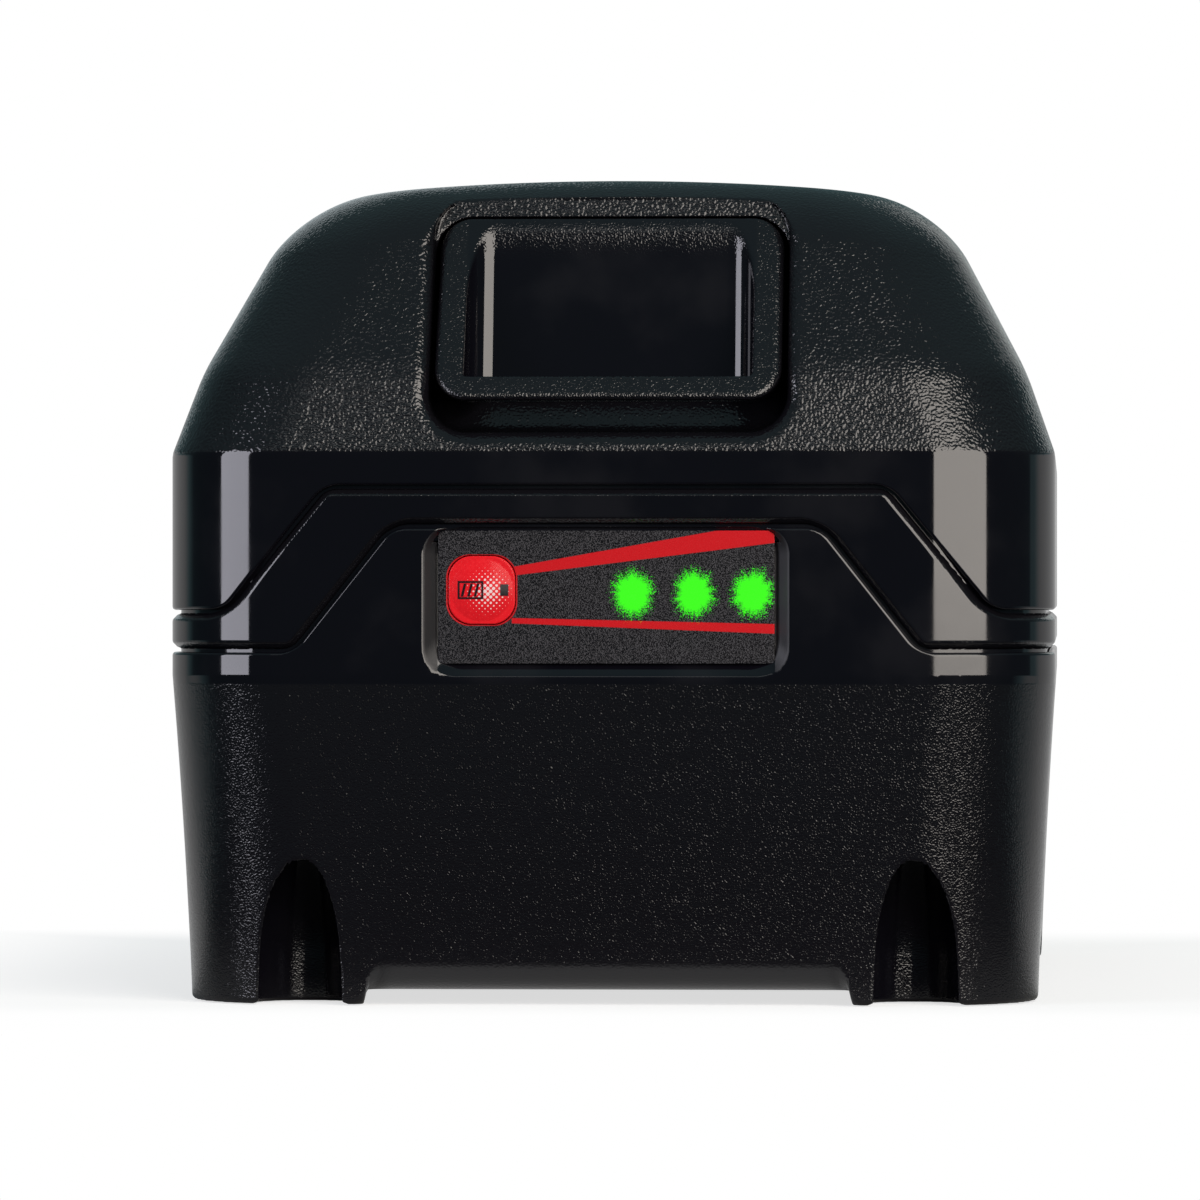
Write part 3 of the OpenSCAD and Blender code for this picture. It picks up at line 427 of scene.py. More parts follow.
def foot_share(x, y, z, ease):
    """1 on the feet and 0 between them, with a soft change at their ends."""
    behind = HALF_L - np.abs(y)
    end = np.abs(x) - FOOT_GAP + FOOT_FLARE * z - FOOT_TAPER * behind
    t = np.clip(np.minimum(end, FOOT_L - behind) / ease + 0.5, 0, 1)
    return t * t * (3 - 2 * t)


def lower_housing(x, y, z):
    outer = walls(x, y, z)
    above = over_seam(LOWER_SEAM, x, y, z)
    under = BELLY_Z * (1 - foot_share(x, y, z, FOOT_END)) - z
    solid = meet(outer, under, BELLY_R + (FOOT_EDGE - BELLY_R) * foot_share(x, y, z, FOOT_BLEND))
    dome = 1 - (np.clip(z - DOME_Z, 0, DOME_H) / DOME_H) ** 2
    flutes = at_screws(x, y, FLUTE_IN) - FLUTE_R * np.sqrt(dome)
    flutes = np.minimum(flutes, at_screws(x, y) - FLUTE_SEAT_R)
    flutes = np.maximum(flutes, z - SEAT_Z)
    solid = cut(solid, flutes, FLUTE_EDGE)
    solid = meet(solid, above, SEAM_EDGE)
    solid = cut(solid, gauge_window(x, y, z), WINDOW_EDGE)
    room = np.maximum(outer + WALL, FLOOR_Z - z)
    rebate = np.maximum(outer + SEAM_LAND, -above - LIP_H)
    columns = np.maximum(at_screws(x, y) - COLUMN_R, z - COLUMN_TOP)
    solid = cut(solid, cut(np.minimum(room, rebate), columns))
    holes = at_screws(x, y) - SCREW_HOLE
    key_way = ring(x - KEY_X, z - KEY_Z, KEY_HALF[0] + LIP_FIT, KEY_HALF[1] + LIP_FIT, KEY_R)
    lights = np.hypot(x - LIGHT_X[0], z - KEY_Z)
    for light_x in LIGHT_X[1:]:
        lights = np.minimum(lights, np.hypot(x - light_x, z - KEY_Z))
    ways = np.minimum(key_way, lights - LIGHT_R - LIP_FIT)
    return cut(solid, np.minimum(holes, np.maximum(ways, y - FRONT - 2 * WALL)))


def release_button(x, y, z):
    middle, half = (BUTTON_Z + BUTTON_TOP) / 2, (BUTTON_TOP - BUTTON_Z) / 2
    outline = ring(x, z - middle, BUTTON_HALF, half, BUTTON_R)
    high = np.clip((z - BUTTON_TOP + EDGE_RUN) / EDGE_EASE, 0, 1)
    edge = BUTTON_EDGE + (BUTTON_TOP_EDGE - BUTTON_EDGE) * high
    plate = meet(outline, -behind_face(y, z, 0), edge)
    plate = meet(plate, behind_face(y, z, BUTTON_T), MOULD_EDGE)
    plate = cut(plate, thumb_dish(x, y, z), DISH_EDGE)
    arm = np.maximum(between(z, ARM_Z, ARM_TOP), np.abs(x) - ARM_HALF)
    arm = meet(arm, np.maximum(-behind_face(y, z, BUTTON_T - ARM_SINK), y - TONGUE_END), MOULD_EDGE)
    back = TONGUE_END - y
    ramp = z - RAIL_Z - back * (TONGUE_TOP - RAIL_Z) / (TONGUE_L - TONGUE_FLAT)
    tongue = meet(np.abs(x) - TONGUE_HALF, between(back, 0, TONGUE_L), TONGUE_EDGE)
    tongue = meet(tongue, meet(z - TONGUE_TOP, ramp * RAMP_SLANT, MOULD_EDGE), TONGUE_EDGE)
    pegs = np.hypot(np.abs(x) - PEG_X, y - PEG_Y) - PEG_R
    pegs = np.maximum(pegs, between(z, ARM_Z - PEG_H, ARM_TOP - SLIP))
    hook = join(arm, np.maximum(tongue, ARM_Z - z), MOULD_EDGE)
    return np.minimum(join(plate, hook, ARM_FILLET), pegs)


def thumb_dish(x, y, z):
    """The dish: its sides are round, and its floor falls from the upper edge to a square ledge."""
    share = (DISH_TOP - z) / (DISH_TOP - DISH_Z)
    deep = DISH_SHALLOW + (DISH_DEPTH - DISH_SHALLOW) * share
    hollow = meet(behind_face(y, z, 0) - deep, np.abs(x) - DISH_HALF, DISH_SIDE)
    ledge = (face_y(DISH_Z) - y) * sin(BUTTON_LEAN) + (DISH_Z - z) * cos(BUTTON_LEAN)
    return meet(hollow, ledge, MOULD_EDGE)


def gauge_key(x, y, z):
    """A key with a round dome on a flat border, and a flange behind the wall."""
    u, v = x - KEY_X, z - KEY_Z
    border = LABEL_FRONT - KEY_PROUD
    dome = (border - KEY_FRONT) * np.clip(1 - (u ** 2 + v ** 2) / DOME_R ** 2, 0, None)
    stem = meet(ring(u, v, *KEY_HALF, KEY_R), border - dome - y, KEY_EDGE)
    flange = ring(u, v, KEY_HALF[0] + FLANGE, KEY_HALF[1] + FLANGE, KEY_R)
    flange = np.maximum(flange, between(y, KEY_BACK - FLANGE_T, KEY_BACK))
    return np.minimum(np.maximum(stem, y - KEY_BACK), flange)


def gauge_label(x, y, z):
    """A film with a hole for the key."""
    middle, half = (LABEL_Z + LABEL_TOP) / 2, (LABEL_TOP - LABEL_Z) / 2
    outline = ring(x, z - middle, LABEL_HIGH[0], half, LABEL_R)
    film = meet(outline, between(y, LABEL_FRONT, LABEL_HIGH[1]), FILM_EDGE)
    hole = ring(x - KEY_X, z - KEY_Z, KEY_HALF[0] + KEY_SLIT, KEY_HALF[1] + KEY_SLIT, KEY_R)
    return cut(film, hole, FILM_HOLE_EDGE)


# Meshing

HALVINGS = 30
SETTLE_ROUNDS = 3
SETTLE_REACH = 0.3
FLATTEST = 0.1


def lines(start, *runs):
    """Grid lines from a start through runs of a step and an end."""
    parts = []
    for step, end in zip(runs[::2], runs[1::2]):
        parts.append(np.linspace(start, end, max(round((end - start) / step), 1), endpoint=False))
        start = end
    return np.concatenate(parts + [[start]])


def mirrored(half):
    return np.concatenate([-half[:0:-1], half])


def seam_rise(seam, x, over):
    """How far the line at a height over a seam climbs at the front."""
    x, over = np.broadcast_arrays(x, over)
    low = np.zeros(x.shape)
    high = np.full(x.shape, 2 * (seam[1] - seam[0]))
    for _ in range(HALVINGS):
        middle = (low + high) / 2
        under = over_seam(seam, x, FRONT, seam[0] + over + middle) < over
        low = np.where(under, middle, low)
        high = np.where(under, high, middle)
    return low


def at_front(y):
    """1 along the front wall, easing to 0 behind it."""
    return np.clip((ARCH_Y - y) / ARCH_EASE, 0, 1)


def skin(field, xs, ys, levels, lift):
    """Vertices and quads of a field's surface. The grid's levels are lifted, so that they follow a seam."""
    x, y = xs[:, None, None], ys[None, :, None]
    z = levels + lift(x, y, levels[None, None, :])
    values = np.broadcast_to(field(x, y, z), (len(xs), len(ys), len(levels))).astype(np.float32)
    z = np.broadcast_to(z, values.shape)
    inside = values < 0
    corners = [(i, j, k) for i in (0, 1) for j in (0, 1) for k in (0, 1)]
    size = [n - 1 for n in values.shape]

    def corner(a, c):
        return a[c[0]:c[0] + size[0], c[1]:c[1] + size[1], c[2]:c[2] + size[2]]

    count = sum(corner(inside, c).astype(np.int8) for c in corners)
    cells = np.argwhere((count > 0) & (count < 8))
    number = np.full(size, -1, np.int32)
    number[tuple(cells.T)] = np.arange(len(cells))
    at = [tuple((cells + c).T) for c in corners]
    value = np.stack([values[a] for a in at], 1)
    point = np.stack([np.stack([xs[a[0]], ys[a[1]], z[a]], 1) for a in at], 1)
    total = np.zeros((len(cells), 3))
    weight = np.zeros((len(cells), 1))
    for a in range(8):
        for b in range(a + 1, 8):
            if sum(p != q for p, q in zip(corners[a], corners[b])) != 1:
                continue
            crossed = (value[:, a] < 0) != (value[:, b] < 0)
            t = np.where(crossed, value[:, a] / np.where(crossed, value[:, a] - value[:, b], 1), 0)[:, None]
            total += crossed[:, None] * (point[:, a] + t * (point[:, b] - point[:, a]))
            weight += crossed[:, None]
    quads = []
    for axis in range(3):
        one, two = [n for n in range(3) if n != axis]
        sign = np.diff(inside.astype(np.int8), axis=axis)
        edge = np.argwhere(sign != 0)
        low = np.min(edge[:, [one, two]], axis=1) > 0
        keep = low & (edge[:, one] < size[one]) & (edge[:, two] < size[two])
        edge = edge[keep]
        turn = sign[tuple(edge.T)] * (1 if axis != 1 else -1)
        around = []
        for a, b in ((1, 1), (0, 1), (0, 0), (1, 0)):
            cell = edge.copy()
            cell[:, one] -= a
            cell[:, two] -= b
            around.append(number[tuple(cell.T)])
        quad = np.stack(around, 1)
        quad[turn > 0] = quad[turn > 0][:, ::-1]
        quads.append(quad)
    return total / weight, np.concatenate(quads)


def slope_at(field, points, step=0.01):
    """The field's gradient at points."""
    columns = []
    for axis in range(3):
        move = np.zeros(3)
        move[axis] = step
        columns.append((field(*(points + move).T) - field(*(points - move).T)) / (2 * step))
    return np.stack(columns, 1)


def settle(field, points):
    """Moves points onto the field's surface."""
    for _ in range(SETTLE_ROUNDS):
        g = slope_at(field, points)
        move = field(*points.T)[:, None] * g / np.maximum((g ** 2).sum(1), FLATTEST)[:, None]
        points = points - np.clip(move, -SETTLE_REACH, SETTLE_REACH)
    return points


def mesh_of(name, vertices, faces):
    mesh = bpy.data.meshes.new(name)
    mesh.vertices.add(len(vertices))
    mesh.vertices.foreach_set("co", (vertices * MM).astype(np.float32).ravel())
    mesh.loops.add(faces.size)
    mesh.loops.foreach_set("vertex_index", faces.ravel().astype(np.int32))
    mesh.polygons.add(len(faces))
    mesh.polygons.foreach_set("loop_start", np.arange(0, faces.size, faces.shape[1], dtype=np.int32))
    mesh.update(calc_edges=True)
    mesh.validate()
    return mesh


def thinned(obj, limit):
    """A copy of an object's mesh with fewer triangles, kept where the surface bends."""
    modifier = obj.modifiers.new("thin", "DECIMATE")
    modifier.ratio = min(1.0, limit / (2 * len(obj.data.polygons)))
    modifier.use_collapse_triangulate = True
    shown = obj.evaluated_get(bpy.context.evaluated_depsgraph_get())
    mesh = bpy.data.meshes.new_from_object(shown)
    obj.modifiers.clear()
    return mesh


def flat(x, y, levels):
    return 0


def shape(name, field, grid, triangles, lift=flat):
    """An object made from a field on a grid."""
    vertices, faces = skin(field, *grid, lift)
    obj = bpy.data.objects.new(name, mesh_of(name, settle(field, vertices), faces))
    bpy.context.scene.collection.objects.link(obj)
    if 2 * len(faces) > triangles:
        obj.data = thinned(obj, triangles)
    mesh = obj.data
    co = np.empty(3 * len(mesh.vertices))
    mesh.vertices.foreach_get("co", co)
    points = settle(field, co.reshape(-1, 3) / MM)
    mesh.vertices.foreach_set("co", (points * MM).astype(np.float32).ravel())
    normal = slope_at(field, points)
    normal /= np.maximum(np.linalg.norm(normal, axis=1), 1e-6)[:, None]
    mesh.polygons.foreach_set("use_smooth", np.ones(len(mesh.polygons), bool))
    mesh.update()
    mesh.normals_split_custom_set_from_vertices(normal)
    return obj


def springs():
    """Two coils of wire with closed ends, on pegs under the release arm."""
    sides, rings = WIRE_SIDES, WIRE_RINGS * SPRING_TURNS
    low, high = SPRING_LOW[2] + SPRING_WIRE / 2, SPRING_HIGH[2] - SPRING_WIRE / 2
    coil_r = (SPRING_HIGH[1] - SPRING_LOW[1] - SPRING_WIRE) / 2
    points, faces = [], []
    for middle in (-PEG_X, PEG_X):
        first = len(points)
        for i in range(rings + 1):
            t = i / rings
            turn = 2 * np.pi * SPRING_TURNS * t
            rise = t - SPRING_CLOSED / (2 * np.pi) * sin(2 * np.pi * t)
            for k in range(sides):
                around = 2 * np.pi * k / sides
                r = coil_r + SPRING_WIRE / 2 * cos(around)
                points.append(((middle + r * cos(turn)) * MM, (PEG_Y - r * sin(turn)) * MM,
                               (low + (high - low) * rise + SPRING_WIRE / 2 * sin(around)) * MM))
        for i in range(rings):
            for k in range(sides):
                a, b = first + i * sides, first + i * sides + sides
                faces.append((a + k, a + (k + 1) % sides, b + (k + 1) % sides, b + k))
        faces.append(tuple(range(first, first + sides)))
        faces.append(tuple(range(len(points) - sides, len(points))))
    mesh = bpy.data.meshes.new("coil_springs")
    mesh.from_pydata(points, [], faces)
    shell = bmesh.new()
    shell.from_mesh(mesh)
    bmesh.ops.recalc_face_normals(shell, faces=shell.faces)
    shell.to_mesh(mesh)
    shell.free()
    mesh.polygons.foreach_set("use_smooth", np.ones(len(mesh.polygons), bool))
    obj = bpy.data.objects.new("coil_springs", mesh)
    bpy.context.scene.collection.objects.link(obj)
    return obj


def dress(obj, material, body, slot, *nodes):
    """Gives a piece its material, and lets it stand for CAD nodes on their body."""
    obj.data.materials.clear()
    obj.data.materials.append(material)
    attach(obj, body)
    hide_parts(*nodes)


# Materials

class Nodes:
    """A node tree, with short calls for the nodes that are used most."""

    def __init__(self, tree):
        self.tree = tree

    def add(self, kind, **settings):
        node = self.tree.nodes.new(kind)
        for name, value in settings.items():
            setattr(node, name, value)
        return node

    def feed(self, socket, value):
        """Links a socket, or sets its value."""
        if isinstance(value, bpy.types.NodeSocket):
            self.tree.links.new(value, socket)
        else:
            socket.default_value = value

    def parts(self, vector):
        """The x, y and z of a vector."""
        split = self.add("ShaderNodeSeparateXYZ")
        self.feed(split.inputs[0], vector)
        return split.outputs

    def math(self, operation, *values):
        node = self.add("ShaderNodeMath", operation=operation)
        for socket, value in zip(node.inputs, values):
            self.feed(socket, value)
        return node.outputs[0]

    def length(self, u, v):
        """The length of a vector in a plane."""
        squares = self.math("ADD", self.math("POWER", u, 2.0), self.math("POWER", v, 2.0))
        return self.math("POWER", squares, 0.5)

    def ramp(self, value, low, high, start=0.0, end=1.0, smooth=True):
        """Goes from start to end as a value goes from low to high."""
        node = self.add("ShaderNodeMapRange", interpolation_type="SMOOTHSTEP" if smooth else "LINEAR")
        for socket, v in zip(node.inputs, (value, low, high, start, end)):
            self.feed(socket, v)
        return node.outputs[0]

    def mix(self, share, a, b):
        """Colour a where the share is 0, and b where it is 1."""
        node = self.add("ShaderNodeMix", data_type="RGBA")
        self.feed(node.inputs["Factor"], share)
        for socket, value in zip([s for s in node.inputs if s.type == "RGBA"], (a, b)):
            self.feed(socket, value)
        return [s for s in node.outputs if s.type == "RGBA"][0]

    def blend(self, share, a, b):
        """Number a where the share is 0, and b where it is 1."""
        return self.math("MULTIPLY_ADD", share, self.math("SUBTRACT", b, a), a)


class Paint(Nodes):
    """A material in the making. Places are in millimetres."""

    def __init__(self, name):
        self.material = bpy.data.materials.new(name)
        self.material.use_nodes = True
        super().__init__(self.material.node_tree)
        self.shader = self.tree.nodes["Principled BSDF"]
        coordinates = self.add("ShaderNodeTexCoord")
        self.normal = coordinates.outputs["Normal"]
        scale = self.add("ShaderNodeVectorMath", operation="SCALE")
        scale.inputs["Scale"].default_value = 1 / MM
        self.feed(scale.inputs[0], coordinates.outputs["Object"])
        self.place = scale.outputs[0]
        self.x, self.y, self.z = self.parts(self.place)

    def facing(self, axis):
        """How squarely the surface faces along an axis, either way."""
        return self.math("ABSOLUTE", self.parts(self.normal)[axis])

    def noise(self, size, detail=2.0):
        """Soft noise with features of a size."""
        node = self.add("ShaderNodeTexNoise")
        node.inputs["Scale"].default_value = 1 / size
        node.inputs["Detail"].default_value = detail
        self.feed(node.inputs["Vector"], self.place)
        return node.outputs[0]

    def bump(self, height, depth):
        """Relief of a depth in millimetres."""
        node = self.add("ShaderNodeBump")
        node.inputs["Strength"].default_value = 1.0
        node.inputs["Distance"].default_value = depth * MM
        self.feed(node.inputs["Height"], height)
        self.feed(self.shader.inputs["Normal"], node.outputs[0])

    def set(self, name, value):
        self.feed(self.shader.inputs[name], value)


BLACK = (0.0026, 0.0024, 0.0041, 1)
HAZE = (0.0056, 0.0053, 0.0072, 1)
GRAIN_BLACK = (0.0042, 0.0040, 0.0054, 1)
POLISH = (0.049, 0.112)
GRAIN_ROUGH = (0.144, 0.102)
SATIN = 0.5
SMUDGE = 9.0


def moulded(name, grain_share, size, depth, satin_share=None):
    """Black moulded plastic: grain of a size and a depth where the share is 1, polished where it is 0,
    and satin where another share is 1."""
    paint = Paint(name)
    share = grain_share(paint)
    grain = paint.ramp(paint.noise(size, 0.5), 0.3, 0.7, smooth=False)
    smudge = paint.noise(SMUDGE, 3.0)
    polish = paint.ramp(smudge, 0.35, 0.75, *POLISH)
    rough = paint.blend(grain, *GRAIN_ROUGH)
    handled = paint.mix(paint.ramp(smudge, 0.5, 0.75), BLACK, HAZE)
    paint.set("Base Color", paint.mix(share, handled, GRAIN_BLACK))
    rough = paint.blend(share, polish, rough)
    if satin_share:
        rough = paint.blend(satin_share(paint), rough, SATIN)
    paint.set("Roughness", rough)
    paint.bump(paint.math("MULTIPLY", share, grain), depth)
    return paint.material


def plain(name, color, rough, size, depth, metal=0.0, spread=0.25):
    """A plain finish with soft changes in its colour, roughness and relief."""
    paint = Paint(name)
    cloud = paint.noise(size, 3.0)
    dark = tuple(c * (1 - spread) for c in color) + (1,)
    light = tuple(min(c * (1 + spread), 1) for c in color) + (1,)
    paint.set("Base Color", paint.mix(cloud, dark, light))
    paint.set("Roughness", paint.ramp(cloud, 0.3, 0.7, rough * 0.8, rough * 1.2))
    paint.set("Metallic", metal)
    paint.bump(cloud, depth)
    return paint.material


HOOD_FADE = 0.15
GRAIN_FADE = 0.2
FLUTE_GRAIN = 0.25
RIM_FADE = 0.3
DISH_FADE = (3.2, 0.2)
DISH_GRAIN = 0.55
SATIN_IN = 0.2
SATIN_OUT = 0.1


def upper_grain(paint):
    """Grain above the hood's foot."""
    return paint.ramp(paint.z, HOOD_Z, HOOD_Z + HOOD_FADE)


def lower_grain(paint):
    """Grain below the waist, but not in the flutes."""
    away = []
    for value, middle in ((paint.x, SCREW_X - FLUTE_IN), (paint.y, SCREW_Y)):
        away.append(paint.math("SUBTRACT", paint.math("ABSOLUTE", value), middle))
    flute = paint.length(*away)
    rise = paint.ramp(paint.z, DOME_Z, DOME_Z + DOME_H, smooth=False)
    dome = paint.math("SUBTRACT", 1.0, paint.math("POWER", rise, 2.0))
    outside = paint.math("MULTIPLY_ADD", paint.math("POWER", dome, 0.5), -FLUTE_R, flute)
    below = paint.ramp(paint.z, GRAIN_TOP - GRAIN_FADE, GRAIN_TOP, 1.0, 0.0)
    return paint.math("MULTIPLY", below, paint.ramp(outside, 0.0, GRAIN_FADE, FLUTE_GRAIN, 1.0))


def band_grain(paint):
    """The bevels of the band are grained."""
    return paint.ramp(paint.facing(2), 0.2, 0.35)


def button_grain(paint):
    """The rim is grained, and the grain fades out into the dish."""
    beside = paint.ramp(paint.math("ABSOLUTE", paint.x), DISH_HALF - RIM_FADE, DISH_HALF + RIM_FADE)
    above = paint.ramp(paint.z, DISH_TOP - DISH_FADE[0], DISH_TOP - DISH_FADE[1], 0.0, DISH_GRAIN)
    below = paint.ramp(paint.z, DISH_Z - RIM_FADE, DISH_Z, 1.0, 0.0)
    return paint.math("MAXIMUM", paint.math("MAXIMUM", beside, above), below)


def window_satin(paint):
    """The bevels at both sides of the window are satin."""
    inner, outer = WINDOW_HALF - SATIN_IN, WINDOW_HALF + WINDOW_SLOPE + SATIN_OUT
    beside = within(paint, paint.math("ABSOLUTE", paint.x), inner, outer)
    level = within(paint, paint.z, WINDOW_Z - WINDOW_SLOPE, WINDOW_TOP + WINDOW_SLOPE)
    leaning = paint.ramp(paint.facing(0), 0.15, 0.3)
    return paint.math("MULTIPLY", paint.math("MULTIPLY", beside, level), leaning)


def within(paint, value, low, high, soft=0.05):
    """1 where a value lies between two others."""
    return paint.math("MULTIPLY", paint.ramp(paint.math("SUBTRACT", value, low), -soft, soft),
                      paint.ramp(paint.math("SUBTRACT", high, value), -soft, soft))


def stripe(paint, start, end):
    """A stripe along x. Each end is a place along x, and the stripe's lower and upper edge there."""
    t = paint.ramp(paint.x, start[0], end[0], smooth=False)
    low = paint.blend(t, start[1], end[1])
    high = paint.blend(t, start[2], end[2])
    along = paint.ramp(paint.x, start[0] - 0.05, start[0])
    return paint.math("MULTIPLY", within(paint, paint.z, low, high), along)


def round_square(paint, x, z, half, r):
    """Distance from the edge of a rounded square, negative inside."""
    sides = []
    for value, middle in ((paint.x, x), (paint.z, z)):
        away = paint.math("ABSOLUTE", paint.math("SUBTRACT", value, middle))
        sides.append(paint.math("MAXIMUM", paint.math("SUBTRACT", away, half - r), 0.0))
    return paint.math("SUBTRACT", paint.length(*sides), r)


GLOW_R = 1.2
SPIKE_L = 1.3
SPIKE_SCALE = 2.8
SPIKE_SHIFT = 9.0
STRAY = 0.11
STRAY_REACH = 3.2


def burst(paint):
    """The glow of the three lights: each has a ragged edge with spikes and stray specks."""
    specks = paint.math("MULTIPLY_ADD", paint.noise(STRAY, 1.0), STRAY_REACH, -STRAY_REACH / 2)
    glow = 0.0
    for i, x in enumerate(GLOW_X):
        u = paint.math("MULTIPLY", paint.math("SUBTRACT", paint.x, x), GLOW_NARROW)
        v = paint.math("MULTIPLY", paint.math("SUBTRACT", paint.z, GLOW_Z), GLOW_LOW)
        r = paint.length(u, v)
        turn = paint.add("ShaderNodeTexNoise", noise_dimensions="1D")
        turn.inputs["Scale"].default_value = SPIKE_SCALE
        turn.inputs["Detail"].default_value = 3.0
        paint.feed(turn.inputs["W"], paint.math("ADD", paint.math("ARCTAN2", v, u), SPIKE_SHIFT * i))
        reach = paint.math("MULTIPLY_ADD", turn.outputs[0], SPIKE_L, GLOW_R)
        ragged = paint.ramp(r, GLOW_R, GLOW_R + 1.0, 0.1, 1.0)
        edge = paint.math("MULTIPLY_ADD", specks, ragged, paint.math("SUBTRACT", reach, r))
        glow = paint.math("MAXIMUM", glow, paint.ramp(edge, -0.5, 0.5))
    return glow


RED = (0.46, 0.009, 0.013, 1)
GREEN = (0.032, 0.62, 0.010, 1)
NO_GLOW = (0, 0, 0, 1)
FILM_DARK = (0.005, 0.005, 0.006, 1)
FILM_LIGHT = (0.052, 0.051, 0.056, 1)
FILM_SPECK = 0.085
FILM_RELIEF = 0.004
KEY_BORDER = 0.12
PRINT_SOFT = 0.06
STRIPES = (((-8.0, 36.52, 37.26), (14.25, 39.3, 41.2)), ((-8.0, 32.48, 32.93), (14.25, 31.6, 32.42)))


def label_film():
    """Dark speckled film with red stripes that spread from the key, and the glow of the lights."""
    paint = Paint("label_film")
    speck = paint.noise(FILM_SPECK, 0.0)
    film = paint.mix(paint.ramp(speck, 0.42, 0.68), FILM_DARK, FILM_LIGHT)
    border = round_square(paint, KEY_X, KEY_Z, KEY_HALF[1] + KEY_BORDER, KEY_R)
    red = paint.ramp(border, -PRINT_SOFT, PRINT_SOFT, 1.0, 0.0)
    for start, end in STRIPES:
        red = paint.math("MAXIMUM", red, stripe(paint, start, end))
    glow = burst(paint)
    paint.set("Base Color", paint.mix(glow, paint.mix(red, film, RED), GREEN))
    paint.set("Emission Color", paint.mix(glow, NO_GLOW, GREEN))
    paint.set("Emission Strength", GLOW_STRENGTH)
    paint.set("Roughness", paint.ramp(speck, 0.3, 0.7, 0.2, 0.3))
    paint.set("Specular IOR Level", 0.15)
    paint.bump(speck, FILM_RELIEF)
    return paint.material


DOT_PITCH = 0.35
DOT_R = 0.46
DOT_WHITE = (0.68, 0.52, 0.52, 1)
DOTS_X = 0.55
DOTS_Z = -0.1
DOTS_R = (0.2, 2.2)


def halftone(paint):
    """A patch of white dots that shrink away from its middle."""
    u = paint.math("SUBTRACT", paint.x, KEY_X + DOTS_X)
    v = paint.math("SUBTRACT", paint.z, KEY_Z + DOTS_Z)
    away = paint.length(u, v)
    near = []
    for value in (paint.math("ADD", u, v), paint.math("SUBTRACT", u, v)):
        cell = paint.math("FRACT", paint.math("DIVIDE", value, DOT_PITCH * sqrt(2)))
        near.append(paint.math("SUBTRACT", cell, 0.5))
    dot = paint.length(*near)
    size = paint.ramp(away, *DOTS_R, DOT_R, 0.0, False)
    return paint.ramp(paint.math("SUBTRACT", dot, size), -PRINT_SOFT, PRINT_SOFT, 1.0, 0.0)


SIGN_DARK = (0.01, 0.008, 0.01, 1)
SIGN_HALF = 0.78
SIGN_LEFT = 2.05
SIGN_RIGHT = 0.17
SIGN_LINE = 0.19
BAR_START = 0.4
BAR_PITCH = 0.56
BAR_W = 0.24
BAR_IN = 0.22
SQUARE_X = (1.58, 2.28)
SQUARE_HALF = 0.5
KEY_REDS = ((0.55, 0.008, 0.014, 1), (0.66, 0.014, 0.02, 1))


def battery_sign(paint):
    """A plain battery with three slanted bars, and a square beside it."""
    low, high = KEY_Z - SIGN_HALF, KEY_Z + SIGN_HALF
    left, right = KEY_X - SIGN_LEFT, KEY_X + SIGN_RIGHT
    outer = paint.math("MULTIPLY", within(paint, paint.z, low, high), within(paint, paint.x, left, right))
    inner = paint.math("MULTIPLY", within(paint, paint.z, low + SIGN_LINE, high - SIGN_LINE),
                       within(paint, paint.x, left + SIGN_LINE, right - SIGN_LINE))
    lean = paint.math("MULTIPLY_ADD", paint.z, -BAR_LEAN, paint.math("ADD", paint.x, KEY_Z * BAR_LEAN))
    bars = 0.0
    for i in range(3):
        bar = left + BAR_START + BAR_PITCH * i
        bars = paint.math("MAXIMUM", bars, within(paint, lean, bar, bar + BAR_W))
    bars = paint.math("MULTIPLY", bars, within(paint, paint.z, low + BAR_IN, high - BAR_IN))
    square = paint.math("MULTIPLY", within(paint, paint.x, KEY_X + SQUARE_X[0], KEY_X + SQUARE_X[1]),
                        within(paint, paint.z, KEY_Z - SQUARE_HALF, KEY_Z + SQUARE_HALF))
    sign = paint.math("MAXIMUM", paint.math("SUBTRACT", outer, inner), bars)
    return paint.math("MAXIMUM", sign, square)


def key_red():
    """Red film over the key, with white dots and a dark battery sign."""
    paint = Paint("key_plastic")
    cloud = paint.noise(0.25, 2.0)
    red = paint.mix(cloud, *KEY_REDS)
    dotted = paint.mix(halftone(paint), red, DOT_WHITE)
    paint.set("Base Color", paint.mix(battery_sign(paint), dotted, SIGN_DARK))
    paint.set("Roughness", paint.ramp(cloud, 0.3, 0.7, 0.18, 0.28))
    paint.set("Specular IOR Level", 0.12)
    paint.bump(cloud, FILM_RELIEF)
    return paint.material


def light_green():
    paint = Paint("light_pipe")
    cloud = paint.noise(0.5, 3.0)
    green = paint.mix(cloud, (0.03, 0.6, 0.01, 1), GREEN)
    paint.set("Base Color", green)
    paint.set("Emission Color", green)
    paint.set("Emission Strength", GLOW_STRENGTH)
    paint.set("Roughness", 0.3)
    paint.bump(cloud, 0.02)
    return paint.material


